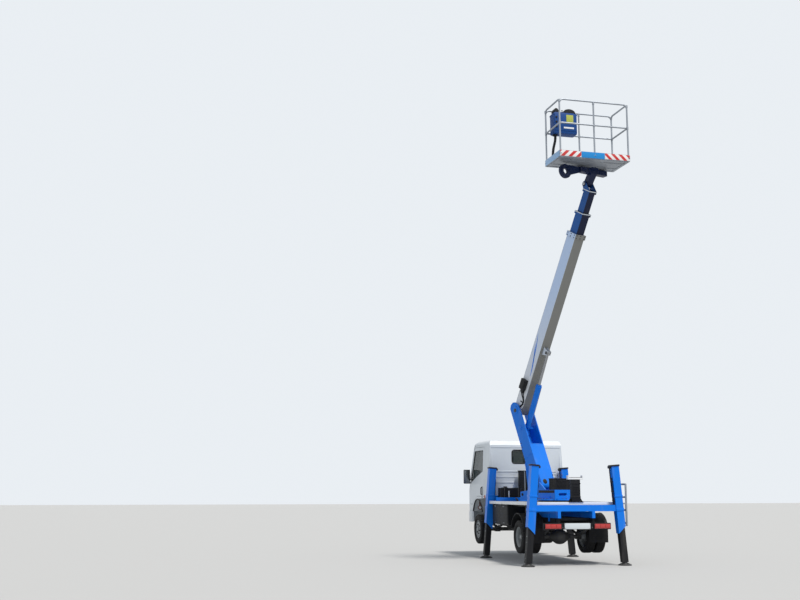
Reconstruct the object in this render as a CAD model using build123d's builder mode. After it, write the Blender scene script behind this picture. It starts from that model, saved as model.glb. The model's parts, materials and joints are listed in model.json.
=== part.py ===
# Cherry picker truck: a light cab-over lorry that carries a turntable, a lower boom, a telescopic
# upper boom and a work basket. It stands on its four jacking legs with the wheels hanging free.
# Millimetres. +Y points forward, to the cab, +X to the vehicle's right, +Z up.
# The origin is on the ground, at the middle of the whole outline.
import math
import os

from build123d import *

os.makedirs("parts", exist_ok=True)

# Axles and wheels
FRONT_AXLE_Y = 1997
WHEELBASE = 2953
REAR_AXLE_Y = FRONT_AXLE_Y - WHEELBASE
FRONT_HUB_Z = 570
REAR_HUB_Z = 515
TYRE_RADIUS = 325
TYRE_WIDTH = 185
RIM_RADIUS = 200
RIM_WALL = 12
TRACK_HALF = 777
TWIN_PITCH = 215
HUB_RADIUS = 62
BORE_CLEARANCE = 0.3
SEAT_CLEARANCE = 0.3
WHEEL_OFFSET = 107.5
FRONT_WHEEL_OFFSET = 60
BOLT_CIRCLE_RADIUS = 150
STUB_RADIUS = 30
KNUCKLE_GAP = 2
KINGPIN_X = 600
KINGPIN_RADIUS = 20
KNUCKLE_HEIGHT = 130
AXLE_BEAM = 80
DIFFERENTIAL_RADIUS = 135
DIFFERENTIAL_BULGE = 15
ENGINE_MOUNTS_Y = (1450, 1900)
ENGINE_MOUNT = 80
GEARBOX_END_Y = 797
ENGINE_BOX = (560, 1000, 420)
ENGINE_Z = 850
SHAFT_RADIUS = 38
SILENCER_RADIUS = 80

# Chassis and subframe
RAIL_X = 350
RAIL_WIDTH = 60
RAIL_HEIGHT = 160
RAIL_WALL = 8
RAIL_TOP_Z = 900
RAIL_FRONT_Y = 2560
RAIL_REAR_Y = -1790
CROSS_MEMBERS_Y = (2480, 700, -100, -700, -1300, -1750)
CROSS_MEMBER_WIDTH = 70
CROSS_MEMBER_HEIGHT = 50
SUB_RAIL_HEIGHT = 120
SUB_FRONT_Y = 1000
CROSS_BEAM = 120
DECK_TOP_Z = 1200
DECK_THICKNESS = 50
DECK_HALF_WIDTH = 914
DECK_FRONT_Y = 850
DECK_REAR_Y = -1805
SPRING_X = 400
SPRING_WIDTH = 60
SPRING_LEAF = 12
FRONT_SPRING_HALF = 500
REAR_SPRING_HALF = 560

# Jacking legs: square sleeves, leaning outward at the foot
LEG_FRONT_Y = 935
LEG_REAR_Y = -1890
LEG_FOOT_X = 982
LEG_LEAN = 4.9
LEG_TOP_Z = 1903
SLEEVE_SIZE = 150
SLEEVE_WALL = 8
SLEEVE_BOTTOM_Z = 610
SPRING_SINK = 4
BEAM_BOSS_RADIUS = 50
LEG_CLEARANCE = 7
LEG_TOP_INSIDE_Z = 1475
LEG_PAD_LENGTH = 60
LEG_TRAVEL = 400
FOOT_RADIUS = 130
FOOT_THICKNESS = 16
FOOT_BALL_RADIUS = 45

# Cab
CAB_BACK_Y = 1073
CAB_FRONT_Y = 2706
CAB_HALF_WIDTH = 855
CAB_ROOF_HALF = 820
CAB_ROOF_Z = 2535
CAB_BROW_Y = 2310
CAB_BROW_Z = 2465
SCREEN_FOOT_Y = 2640
SCREEN_FOOT_Z = 1640
CAB_NOSE_Z = 1400
CAB_BELT_Z = 1720
CAB_SILL_Z = 1250
CAB_SKIRT_Z = 720
CAB_WALL = 40
CAB_CORNER = 110
ARCH_RADIUS = 400
ARCH_CENTRE_Z = 838
DOOR_GAP = 7
DOOR_FLANGE = 10
DOOR_STEP = 16
GLASS = 6
GLASS_INSET = 12
BUMPER_FRONT_Y = 2757
BUMPER_BACK_Y = 2430
SEAT_REAR_Y = 1220
SEAT_FRONT_Y = 1780
SEAT_TOP_Z = 1575
SEAT_BACK_TOP_Z = 2150
DASH_DEPTH = 416
DASH_TOP_Z = 1660
DASH_BOTTOM_Z = 1400
DASH_HALF = 760
CAB_TILT_Y = 2535
CAB_TILT_Z = 860
TILT_PIN_RADIUS = 18
TILT_ARM = 20
TILT_ARM_GAP = 5
CAB_FLOOR_FRONT_Z = 960
CAB_BACK_RISE = 30
TUNNEL_HALF = 640
TUNNEL_LENGTH = 110
TUNNEL_TOP_Z = 1480
CAB_POST_Y = 1138
HINGE_HEIGHTS = (1220, 1540)
HINGE_BARREL_RADIUS = 7
HINGE_PIN_RADIUS = 3.7
HINGE_BARREL = 40
HINGE_LEAF = 14
DOOR_HINGE_X = 852
DOOR_HINGE_Y = 2588
DOOR_HINGE_Z = 1380
MIRROR_Y = 2538
MIRROR_Z = 1740
MIRROR = (150, 60, 320)
MIRROR_OUT = 105
MIRROR_ARM = (40, 24, 24)
HEAD_LAMP = (300, 30, 160)
HEAD_LAMP_X = 640
HEAD_LAMP_Z = 1080
SEATS = ((-430, 480), (330, 760))

# Under the deck and behind
SIDE_BOX_X = 640
SIDE_BOX_WIDTH = 420
SIDE_BOXES = ((-1, 290, 1100, 420), (1, 100, 700, 380))
REAR_BUMPER = (1360, 60, 120)
REAR_BUMPER_Z = 750
BUMPER_ARM_WIDTH = 40
BUMPER_ARM_HEIGHT = 200
REAR_LAMP = (320, 30, 90)
REAR_LAMP_X = 500
MUDGUARD_GAP = 120
MUDGUARD_SHEET = 12
MUDGUARD_WIDTH = 430

# Turntable and booms. The boom plane is turned by SLEW from straight back
SLEW = 19.6
SLEW_Y = -722
SLEW_RING_RADIUS = 330
SLEW_RING_HEIGHT = 80
TURRET_PLATE = 25
TURRET_INSIDE = 410
TURRET_BASE = 30
TURRET_REAR_U = 300
TURRET_TOP_Z = 1440
TURRET_SLOT = (210, 50)
TURRET_SLOT_V = -30
TURRET_SLOT_Z = 1350
VALVE_BOX = (200, 385, 220)
VALVE_BOX_V = -22
PIVOT_S = -80
PIVOT_T = 50
PIN_RADIUS = 30
PIN_OVERHANG = 12
LOWER_BASE_U = -345
LOWER_BASE_Z = 1575
LOWER_ANGLE = 66.4
LOWER_LENGTH = 1679
LOWER_WIDTH = 360
LOWER_DEPTH = 300
LOWER_WALL = 10
LOWER_EAR = 22
LOWER_FOOT_RADIUS = 100
SLOT_START = 834
SLOT_MOUTH = 280
CAVITY_START = 70
EAR_REACH = 195
KNEE_BOSS_RADIUS = 75
UPPER_ANGLE = 61.2
UPPER_LENGTH = 4020
UPPER_WIDTH = 236
UPPER_DEPTH = 270
UPPER_WALL = 8
EXTENSION_1_OUT = 445
EXTENSION_1_WIDTH = 190
EXTENSION_1_DEPTH = 225
EXTENSION_2_OUT = 475
EXTENSION_2_WIDTH = 154
EXTENSION_2_DEPTH = 185
EXTENSION_WALL = 6
EXTENSION_LENGTH = 3800
EXTENSION_2_LENGTH = 3600
COLLAR_LENGTH = 60
COLLAR_RIM = 18
END_COLLAR_LENGTH = 100
HEAD_REACH = 90
HEAD_RISE = 120
HEAD_EYE_RADIUS = 58
HEAD_PLATE = 16
EXTENSION_RETRACT = 380
EXTENSION_EXTEND = 2600

# Boom cylinders
LOWER_BARREL_RADIUS = 55
LOWER_ROD_RADIUS = 30
LOWER_BARREL_LENGTH = 640
LOWER_ROD_LENGTH = 620
LOWER_CYLINDER_U = -760
LOWER_CYLINDER_Z = 1345
LOWER_CYLINDER_S = 900
UPPER_BARREL_RADIUS = 60
UPPER_ROD_RADIUS = 29
UPPER_BARREL_LENGTH = 960
UPPER_ROD_LENGTH = 980
UPPER_CYLINDER_S = 1260
UPPER_CYLINDER_T = 0
UPPER_BRACKET_S = 1450
BRACKET_DROP = 115
LOWER_BRACKET_DROP = 75
EAR_PLATE = 16
CYLINDER_PIN_RADIUS = 20
EYE_RADIUS = 42
EYE_WIDTH = 60

# On the deck: boom rest, ladder and tank
REST_X = 50
REST_TOP_Z = 1690
LADDER_X = 1090
LADDER_Y = -1600
LADDER_HALF = 200
LADDER_BOTTOM_Z = 740
LADDER_TOP_Z = 1560
LADDER_TUBE = 30
LADDER_STEPS = 4
LADDER_PITCH = 250
TANK = (470, 240, 280)
TANK_X = -505
TANK_Y = 700

# Basket
BASKET_ANGLE = 2.7
BASKET_LENGTH = 1500
BASKET_DEPTH = 760
BASKET_HEIGHT = 1200
# From the boom head's pin: up to the basket's floor, and back to the basket's middle and its turning axis
BASKET_RISE = 298.6
BASKET_OUT = 320.4
TURN_OUT = 148.5
BASKET_V = -275
BASKET_FLOOR = 60
RAIL_TUBE = 17
TOE_BOARD = 130
TOE_SHEET = 6
TABLE_THICKNESS = 12
TABLE_RADIUS = 125
CONSOLE = (520, 240, 470)
CONSOLE_BOTTOM = 640
CONSOLE_SIDE = 90
CARRIER_BEAM_HALF = 340
CARRIER_BEAM_HEIGHT = 105
CARRIER_BEAM_WIDTH = 120
HUB_SIDE_GAP = 6
ARM_REACH = 720
ARM_PLATE = 40
BOSS_RADIUS = 145
BOSS_HOLE = 55


def wide(y):
    """A plane across the vehicle at y: x to the right, z up. Extrudes rearwards."""
    return Plane.XZ.offset(-y)


def long(x):
    """A plane along the vehicle at x: y forward, z up. Extrudes to the right."""
    return Plane.YZ.offset(x)


# The boom plane holds u, the distance behind the slewing axis, and z
slew = math.radians(SLEW)
rearward = Vector(math.sin(slew), -math.cos(slew), 0)
sideways = Vector(math.cos(slew), math.sin(slew), 0)
slew_origin = Vector(0, SLEW_Y, 0)


def boom_point(u, z, v=0):
    return slew_origin + rearward * u + sideways * v + Vector(0, 0, z)


BOOM_PLANE = Plane(origin=slew_origin, x_dir=rearward, z_dir=sideways * -1)

lower_tilt = math.radians(LOWER_ANGLE)
lower_along = rearward * -math.cos(lower_tilt) + Vector(0, 0, math.sin(lower_tilt))
lower_across = rearward * math.sin(lower_tilt) + Vector(0, 0, math.cos(lower_tilt))
lower_origin = boom_point(LOWER_BASE_U, LOWER_BASE_Z)
LOWER_PLANE = Plane(origin=lower_origin, x_dir=lower_along, z_dir=sideways)
knee = lower_origin + lower_along * LOWER_LENGTH
pivot = lower_origin + lower_along * PIVOT_S + lower_across * PIVOT_T
pivot_u = (pivot - slew_origin).dot(rearward)
pivot_z = pivot.Z

upper_tilt = math.radians(UPPER_ANGLE)
upper_along = rearward * math.cos(upper_tilt) + Vector(0, 0, math.sin(upper_tilt))
upper_across = rearward * -math.sin(upper_tilt) + Vector(0, 0, math.cos(upper_tilt))
UPPER_PLANE = Plane(origin=knee, x_dir=upper_along, z_dir=sideways * -1)


def upper_section(s):
    """A plane across the upper boom at the distance s from the knee: width across, depth up."""
    return Plane(origin=knee + upper_along * s, x_dir=sideways, z_dir=upper_along)


def keep(builder, name):
    builder.part.label = name
    export_step(builder.part, f"parts/{name}.step")


# Chassis frame
tilt_pin_half = RAIL_X + RAIL_WIDTH / 2 + TILT_ARM_GAP + TILT_ARM + 10

with BuildPart() as chassis_frame:
    for side in (-1, 1):
        with BuildSketch(wide(RAIL_FRONT_Y)):
            with Locations((side * RAIL_X, RAIL_TOP_Z - RAIL_HEIGHT / 2)):
                Rectangle(RAIL_WIDTH, RAIL_HEIGHT)
            with Locations((side * (RAIL_X - RAIL_WALL), RAIL_TOP_Z - RAIL_HEIGHT / 2)):
                Rectangle(RAIL_WIDTH, RAIL_HEIGHT - 2 * RAIL_WALL, mode=Mode.SUBTRACT)
        extrude(amount=RAIL_FRONT_Y - RAIL_REAR_Y)
    for member_y in CROSS_MEMBERS_Y:
        with BuildSketch(long(-RAIL_X - RAIL_WIDTH / 2 + RAIL_WALL / 2)):
            with Locations((member_y, RAIL_TOP_Z - CROSS_MEMBER_HEIGHT / 2)):
                Rectangle(CROSS_MEMBER_WIDTH, CROSS_MEMBER_HEIGHT)
        extrude(amount=2 * RAIL_X + RAIL_WIDTH - RAIL_WALL)
    with BuildSketch(long(-tilt_pin_half)):
        with Locations((CAB_TILT_Y, CAB_TILT_Z)):
            Circle(TILT_PIN_RADIUS)
    extrude(amount=2 * tilt_pin_half)
    for side in (-1, 1):
        with BuildSketch(Plane.XY.offset(RAIL_TOP_Z)):
            with Locations((side * RAIL_X, CAB_POST_Y)):
                Rectangle(RAIL_WIDTH, RAIL_WIDTH)
        extrude(amount=TUNNEL_TOP_Z - SEAT_CLEARANCE - RAIL_TOP_Z)
keep(chassis_frame, "chassis_frame")

# Subframe with the two cross beams that carry the legs
sub_bottom = RAIL_TOP_Z
sub_top = RAIL_TOP_Z + SUB_RAIL_HEIGHT
deck_bottom = DECK_TOP_Z - DECK_THICKNESS


def leg_x(z):
    """The middle of a leg at the height z."""
    return LEG_FOOT_X - z * math.tan(math.radians(LEG_LEAN))


front_beam_z = DECK_TOP_Z + CROSS_BEAM / 2
rear_beam_z = deck_bottom - CROSS_BEAM / 2
lean_slack = SLEEVE_SIZE / 2 / math.cos(math.radians(LEG_LEAN))

with BuildPart() as sub_frame:
    for side in (-1, 1):
        with BuildSketch(wide(SUB_FRONT_Y)):
            with Locations((side * RAIL_X, (sub_bottom + sub_top) / 2)):
                Rectangle(RAIL_WIDTH, SUB_RAIL_HEIGHT)
        extrude(amount=SUB_FRONT_Y - LEG_REAR_Y + CROSS_BEAM / 2)
    for beam_y, beam_z in ((LEG_FRONT_Y, front_beam_z), (LEG_REAR_Y, rear_beam_z)):
        reach = leg_x(beam_z) - lean_slack
        slope = CROSS_BEAM / 2 * math.tan(math.radians(LEG_LEAN))
        with BuildSketch(wide(beam_y + CROSS_BEAM / 2)):
            with BuildLine():
                Polyline(
                    (-reach + slope, beam_z + CROSS_BEAM / 2), (reach - slope, beam_z + CROSS_BEAM / 2),
                    (reach + slope, beam_z - CROSS_BEAM / 2), (-reach - slope, beam_z - CROSS_BEAM / 2),
                    close=True)
            make_face()
        extrude(amount=CROSS_BEAM)
    for side in (-1, 1):
        for post_y, post_top in ((LEG_FRONT_Y, DECK_TOP_Z), (LEG_REAR_Y, rear_beam_z - CROSS_BEAM / 2)):
            with BuildSketch(Plane.XY.offset(sub_top)):
                with Locations((side * RAIL_X, post_y)):
                    Rectangle(RAIL_WIDTH, CROSS_BEAM)
            extrude(amount=post_top - sub_top)
    turret_seat = SLEW_RING_RADIUS + 40
    with BuildSketch(Plane.XY.offset(sub_top)):
        with Locations((0, SLEW_Y)):
            RectangleRounded(2 * turret_seat, 2 * turret_seat, 40)
    extrude(amount=deck_bottom - sub_top)
keep(sub_frame, "sub_frame")

# Deck
with BuildPart() as deck:
    with BuildSketch(Plane.XY.offset(deck_bottom)):
        with Locations((0, (DECK_FRONT_Y + DECK_REAR_Y) / 2)):
            Rectangle(2 * DECK_HALF_WIDTH, DECK_FRONT_Y - DECK_REAR_Y)
        with Locations((0, SLEW_Y)):
            Circle(SLEW_RING_RADIUS + 20, mode=Mode.SUBTRACT)
    extrude(amount=DECK_THICKNESS)
keep(deck, "deck")

# Slewing ring, on the subframe
with BuildPart() as slew_ring:
    with BuildSketch(Plane.XY.offset(deck_bottom)):
        with Locations((0, SLEW_Y)):
            Circle(SLEW_RING_RADIUS)
    extrude(amount=SLEW_RING_HEIGHT)
keep(slew_ring, "slew_ring")
ring_top = deck_bottom + SLEW_RING_HEIGHT

# Leg sleeves, legs and feet
LEGS = (
    # name, side, y
    ("front_left", -1, LEG_FRONT_Y),
    ("front_right", 1, LEG_FRONT_Y),
    ("rear_left", -1, LEG_REAR_Y),
    ("rear_right", 1, LEG_REAR_Y),
)


def leg_plane(side, y):
    """A plane at the foot, its normal up along the leg."""
    lean = math.radians(LEG_LEAN)
    along = Vector(-side * math.sin(lean), 0, math.cos(lean))
    return Plane(origin=(side * LEG_FOOT_X, y, 0), x_dir=(0, 1, 0), z_dir=along)


lean_cos = math.cos(math.radians(LEG_LEAN))
sleeve_start = SLEEVE_BOTTOM_Z / lean_cos
sleeve_end = LEG_TOP_Z / lean_cos
inner_size = SLEEVE_SIZE - 2 * SLEEVE_WALL
leg_size = inner_size - 2 * LEG_CLEARANCE

with BuildPart() as leg_sleeves:
    for leg_name, side, leg_y in LEGS:
        plane = leg_plane(side, leg_y)
        with BuildSketch(plane.offset(sleeve_start)):
            Rectangle(SLEEVE_SIZE, SLEEVE_SIZE)
            Rectangle(inner_size, inner_size, mode=Mode.SUBTRACT)
        extrude(amount=sleeve_end - sleeve_start - SLEEVE_WALL)
        with BuildSketch(plane.offset(sleeve_start)):
            Rectangle(SLEEVE_SIZE, SLEEVE_SIZE)
            Rectangle(leg_size + 2 * SEAT_CLEARANCE, leg_size + 2 * SEAT_CLEARANCE, mode=Mode.SUBTRACT)
        extrude(amount=LEG_PAD_LENGTH)
        with BuildSketch(plane.offset(sleeve_end - SLEEVE_WALL)):
            Rectangle(SLEEVE_SIZE, SLEEVE_SIZE)
        extrude(amount=SLEEVE_WALL)
        with BuildSketch(wide(leg_y + SLEEVE_SIZE)):
            cut_x = side * (leg_x(SLEEVE_BOTTOM_Z) - SLEEVE_SIZE / 2)
            cut_z = SLEEVE_BOTTOM_Z - 5
            with BuildLine():
                Polyline(
                    (cut_x, cut_z), (cut_x + side * 2 * SLEEVE_SIZE, cut_z),
                    (cut_x + side * 2 * SLEEVE_SIZE, cut_z + 2 * SLEEVE_SIZE), close=True)
            make_face()
        extrude(amount=2 * SLEEVE_SIZE, mode=Mode.SUBTRACT)
keep(leg_sleeves, "leg_sleeves")

for leg_name, side, leg_y in LEGS:
    plane = leg_plane(side, leg_y)
    with BuildPart() as leg:
        with BuildSketch(Plane.XY):
            with Locations((side * LEG_FOOT_X, leg_y)):
                Circle(FOOT_RADIUS)
        extrude(amount=FOOT_THICKNESS)
        with BuildSketch(Plane.XY.offset(FOOT_THICKNESS)):
            with Locations((side * LEG_FOOT_X, leg_y)):
                Circle(FOOT_BALL_RADIUS)
        extrude(amount=FOOT_BALL_RADIUS)
        leg_bottom = FOOT_THICKNESS + FOOT_BALL_RADIUS
        with BuildSketch(plane.offset(leg_bottom)):
            Rectangle(leg_size, leg_size)
        extrude(amount=LEG_TOP_INSIDE_Z / lean_cos - leg_bottom)
        with BuildSketch(plane.offset(LEG_TOP_INSIDE_Z / lean_cos - LEG_PAD_LENGTH)):
            Rectangle(inner_size - 2 * SEAT_CLEARANCE, inner_size - 2 * SEAT_CLEARANCE)
        extrude(amount=LEG_PAD_LENGTH)
    keep(leg, f"leg_{leg_name}")

# Front axle beam with leaf springs, and rear axle with its differential and springs

def leaf_spring(x, y, hub_z, half_length):
    """One leaf spring from its seat on the axle up to the chassis rail, as a bent bar."""
    seat_z = hub_z + AXLE_BEAM / 2 - SPRING_SINK
    eye_z = RAIL_TOP_Z - RAIL_HEIGHT - SPRING_LEAF
    with BuildSketch(long(x - SPRING_WIDTH / 2)) as leaf:
        with BuildLine():
            ThreePointArc((y - half_length, eye_z), (y, seat_z), (y + half_length, eye_z))
            Line((y + half_length, eye_z), (y + half_length, eye_z + SPRING_LEAF))
            ThreePointArc((y + half_length, eye_z + SPRING_LEAF), (y, seat_z + 3 * SPRING_LEAF),
                          (y - half_length, eye_z + SPRING_LEAF))
            Line((y - half_length, eye_z + SPRING_LEAF), (y - half_length, eye_z))
        make_face()
    extrude(leaf.sketch, amount=SPRING_WIDTH)


with BuildPart() as front_axle:
    with BuildSketch(long(-KINGPIN_X)):
        with Locations((FRONT_AXLE_Y, FRONT_HUB_Z)):
            Rectangle(AXLE_BEAM, AXLE_BEAM)
    extrude(amount=2 * KINGPIN_X)
    for side in (-1, 1):
        with BuildSketch(Plane.XY.offset(FRONT_HUB_Z - KNUCKLE_HEIGHT / 2)):
            with Locations((side * KINGPIN_X, FRONT_AXLE_Y)):
                Circle(KINGPIN_RADIUS)
        extrude(amount=KNUCKLE_HEIGHT)
        with BuildSketch(Plane.XY.offset(FRONT_HUB_Z - AXLE_BEAM / 2)):
            with Locations((side * KINGPIN_X, FRONT_AXLE_Y)):
                Circle(BEAM_BOSS_RADIUS)
        extrude(amount=AXLE_BEAM)
        leaf_spring(side * SPRING_X, FRONT_AXLE_Y, FRONT_HUB_Z, FRONT_SPRING_HALF)
keep(front_axle, "front_axle")

rear_tube_end = TRACK_HALF - TWIN_PITCH - TYRE_WIDTH / 2 - 20
with BuildPart() as rear_axle:
    with BuildSketch(Plane(origin=(0, REAR_AXLE_Y, REAR_HUB_Z), x_dir=(1, 0, 0), z_dir=(0, -1, 0))):
        with BuildLine():
            Polyline((-rear_tube_end, 0), (-rear_tube_end, AXLE_BEAM / 2), (-220, AXLE_BEAM / 2), (-80, DIFFERENTIAL_RADIUS))
            ThreePointArc((-80, DIFFERENTIAL_RADIUS), (0, DIFFERENTIAL_RADIUS + DIFFERENTIAL_BULGE), (80, DIFFERENTIAL_RADIUS))
            Polyline((80, DIFFERENTIAL_RADIUS), (220, AXLE_BEAM / 2), (rear_tube_end, AXLE_BEAM / 2), (rear_tube_end, 0))
            Line((rear_tube_end, 0), (-rear_tube_end, 0))
        make_face()
    revolve(axis=Axis((0, REAR_AXLE_Y, REAR_HUB_Z), (1, 0, 0)))
    for side in (-1, 1):
        leaf_spring(side * SPRING_X, REAR_AXLE_Y, REAR_HUB_Z, REAR_SPRING_HALF)
keep(rear_axle, "rear_axle")

# Engine and gearbox as one block, propeller shaft and exhaust
with BuildPart() as engine_block:
    engine_back_y = FRONT_AXLE_Y - 350 - ENGINE_BOX[1] / 2
    with Locations((0, engine_back_y + ENGINE_BOX[1] / 2, ENGINE_Z)):
        Box(*ENGINE_BOX)
    with BuildSketch(wide(engine_back_y)):
        with Locations((0, ENGINE_Z - 50)):
            Circle(140)
    extrude(amount=engine_back_y - GEARBOX_END_Y)
    rail_floor = RAIL_TOP_Z - RAIL_HEIGHT + RAIL_WALL
    for mount_y in ENGINE_MOUNTS_Y:
        with BuildSketch(Plane.XY.offset(rail_floor)):
            with Locations((0, mount_y)):
                Rectangle(2 * RAIL_X + RAIL_WIDTH - 2 * RAIL_WALL, ENGINE_MOUNT)
        extrude(amount=ENGINE_MOUNT / 2)
keep(engine_block, "engine_block")

# Knuckles
for name, side in (("left", -1), ("right", 1)):
    with BuildPart() as knuckle:
        for z0, z1 in ((AXLE_BEAM / 2 + KNUCKLE_GAP, KNUCKLE_HEIGHT / 2 + 20), (-KNUCKLE_HEIGHT / 2 - 20, -AXLE_BEAM / 2 - KNUCKLE_GAP)):
            with BuildSketch(Plane.XY.offset(FRONT_HUB_Z + z0)):
                with Locations((side * KINGPIN_X, FRONT_AXLE_Y)):
                    Circle(45)
                with Locations((side * (KINGPIN_X + 45), FRONT_AXLE_Y)):
                    Rectangle(90, 70)
                with Locations((side * KINGPIN_X, FRONT_AXLE_Y)):
                    Circle(KINGPIN_RADIUS + BORE_CLEARANCE, mode=Mode.SUBTRACT)
            extrude(amount=z1 - z0)
        with BuildSketch(Plane.XY.offset(FRONT_HUB_Z - KNUCKLE_HEIGHT / 2 - 20)):
            with Locations((side * (KINGPIN_X + 78), FRONT_AXLE_Y)):
                Rectangle(24, 120)
        extrude(amount=KNUCKLE_HEIGHT + 40)
        with BuildSketch(long(side * (KINGPIN_X + 78))):
            with Locations((FRONT_AXLE_Y, FRONT_HUB_Z)):
                Circle(STUB_RADIUS)
        extrude(amount=side * 130)
    keep(knuckle, f"knuckle_{name}")


# Wheels
def tyre_ring(x, y, z):
    """One tyre about an axle along X, revolved from its section."""
    half = TYRE_WIDTH / 2
    with BuildSketch(Plane(origin=(x, y, z), x_dir=(1, 0, 0), z_dir=(0, -1, 0))) as section:
        with BuildLine():
            Polyline((-half * 0.8, RIM_RADIUS), (half * 0.8, RIM_RADIUS), (half, RIM_RADIUS + 40))
            Line((half, RIM_RADIUS + 40), (half, TYRE_RADIUS - 45))
            Line((half, TYRE_RADIUS - 45), (half * 0.8, TYRE_RADIUS))
            Line((half * 0.8, TYRE_RADIUS), (-half * 0.8, TYRE_RADIUS))
            Line((-half * 0.8, TYRE_RADIUS), (-half, TYRE_RADIUS - 45))
            Line((-half, TYRE_RADIUS - 45), (-half, RIM_RADIUS + 40))
            Line((-half, RIM_RADIUS + 40), (-half * 0.8, RIM_RADIUS))
        make_face()
    revolve(section.sketch, axis=Axis((x, y, z), (1, 0, 0)))


def rim_ring(x, y, z, face):
    """One disc wheel about an axle along X: its barrel, and its disc out to the mounting face at x + face."""
    barrel_half = TYRE_WIDTH * 0.4
    flip = math.copysign(1, face)
    inner = RIM_RADIUS - RIM_WALL
    with BuildSketch(Plane(origin=(x, y, z), x_dir=(1, 0, 0), z_dir=(0, -1, 0))) as section:
        with Locations((0, inner)):
            Rectangle(2 * barrel_half, RIM_WALL, align=(Align.CENTER, Align.MIN))
        with BuildLine():
            Polyline(
                (flip * (barrel_half - RIM_WALL), inner + RIM_WALL / 2), (face, BOLT_CIRCLE_RADIUS), (face, 0),
                (face - flip * RIM_WALL, 0), (face - flip * RIM_WALL, BOLT_CIRCLE_RADIUS - RIM_WALL / 2),
                (flip * (barrel_half - 2 * RIM_WALL), inner + RIM_WALL / 2 - RIM_WALL), close=True)
        make_face()
    revolve(section.sketch, axis=Axis((x, y, z), (1, 0, 0)))


for name, side in (("left", -1), ("right", 1)):
    wheel_x = side * TRACK_HALF
    with BuildPart() as front_tyre:
        tyre_ring(wheel_x, FRONT_AXLE_Y, FRONT_HUB_Z)
    keep(front_tyre, f"tyre_front_{name}")
    with BuildPart() as front_rim:
        rim_ring(wheel_x, FRONT_AXLE_Y, FRONT_HUB_Z, side * FRONT_WHEEL_OFFSET)
        with BuildSketch(long(wheel_x - side * 60)):
            with Locations((FRONT_AXLE_Y, FRONT_HUB_Z)):
                Circle(HUB_RADIUS)
        extrude(amount=side * (60 + FRONT_WHEEL_OFFSET + 35))
        with BuildSketch(long(wheel_x - side * 70)):
            with Locations((FRONT_AXLE_Y, FRONT_HUB_Z)):
                Circle(STUB_RADIUS + BORE_CLEARANCE)
        extrude(amount=side * 110, mode=Mode.SUBTRACT)
    keep(front_rim, f"rim_front_{name}")
    with BuildPart() as rear_tyres:
        tyre_ring(wheel_x, REAR_AXLE_Y, REAR_HUB_Z)
        tyre_ring(wheel_x - side * TWIN_PITCH, REAR_AXLE_Y, REAR_HUB_Z)
    keep(rear_tyres, f"tyres_rear_{name}")
    with BuildPart() as rear_rims:
        rim_ring(wheel_x, REAR_AXLE_Y, REAR_HUB_Z, -side * WHEEL_OFFSET)
        rim_ring(wheel_x - side * TWIN_PITCH, REAR_AXLE_Y, REAR_HUB_Z, side * WHEEL_OFFSET)
        with BuildSketch(long(side * (rear_tube_end + SEAT_CLEARANCE))):
            with Locations((REAR_AXLE_Y, REAR_HUB_Z)):
                Circle(HUB_RADIUS + 20)
        extrude(amount=side * (TRACK_HALF - WHEEL_OFFSET + 60 - rear_tube_end))
        with BuildSketch(long(side * (TRACK_HALF - WHEEL_OFFSET))):
            with Locations((REAR_AXLE_Y, REAR_HUB_Z)):
                Circle(HUB_RADIUS - 10)
        extrude(amount=side * (WHEEL_OFFSET + 50))
    keep(rear_rims, f"rims_rear_{name}")

# Turret
with BuildPart() as turret:
    with BuildSketch(Plane.XY.offset(ring_top + SEAT_CLEARANCE)):
        with Locations((0, SLEW_Y)):
            Circle(SLEW_RING_RADIUS + 10)
    extrude(amount=TURRET_BASE)
    turret_floor = ring_top + SEAT_CLEARANCE + TURRET_BASE
    nose = LOWER_CYLINDER_U - 70
    for side in (-1, 1):
        with BuildSketch(BOOM_PLANE.offset(side * (TURRET_INSIDE / 2 + TURRET_PLATE / 2) - TURRET_PLATE / 2)):
            with BuildLine():
                Polyline(
                    (nose, turret_floor - TURRET_BASE), (TURRET_REAR_U, turret_floor - TURRET_BASE),
                    (TURRET_REAR_U, TURRET_TOP_Z), (0, TURRET_TOP_Z), (pivot_u + 80, pivot_z + 65),
                    (pivot_u - 70, pivot_z + 70), (pivot_u - 190, TURRET_TOP_Z), (nose, TURRET_TOP_Z - 40), close=True)
            make_face()
            with Locations((pivot_u, pivot_z)):
                Circle(PIN_RADIUS, mode=Mode.SUBTRACT)
        extrude(amount=TURRET_PLATE)
    with BuildSketch(BOOM_PLANE.offset(-TURRET_INSIDE / 2 - TURRET_PLATE - 15)):
        with Locations((pivot_u, pivot_z)):
            Circle(PIN_RADIUS)
    extrude(amount=TURRET_INSIDE + 2 * TURRET_PLATE + 30)
    with BuildSketch(BOOM_PLANE.offset(-TURRET_INSIDE / 2 - TURRET_PLATE)):
        with Locations((LOWER_CYLINDER_U, LOWER_CYLINDER_Z)):
            Circle(CYLINDER_PIN_RADIUS)
    extrude(amount=TURRET_INSIDE + 2 * TURRET_PLATE)
    with BuildSketch(Plane(origin=boom_point(TURRET_REAR_U - TURRET_PLATE, 0), x_dir=sideways, z_dir=rearward)):
        with Locations((0, (turret_floor + TURRET_TOP_Z) / 2)):
            Rectangle(TURRET_INSIDE, TURRET_TOP_Z - turret_floor)
        with Locations((TURRET_SLOT_V, TURRET_SLOT_Z)):
            SlotOverall(*TURRET_SLOT, mode=Mode.SUBTRACT)
    extrude(amount=TURRET_PLATE)
keep(turret, "turret")

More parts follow.
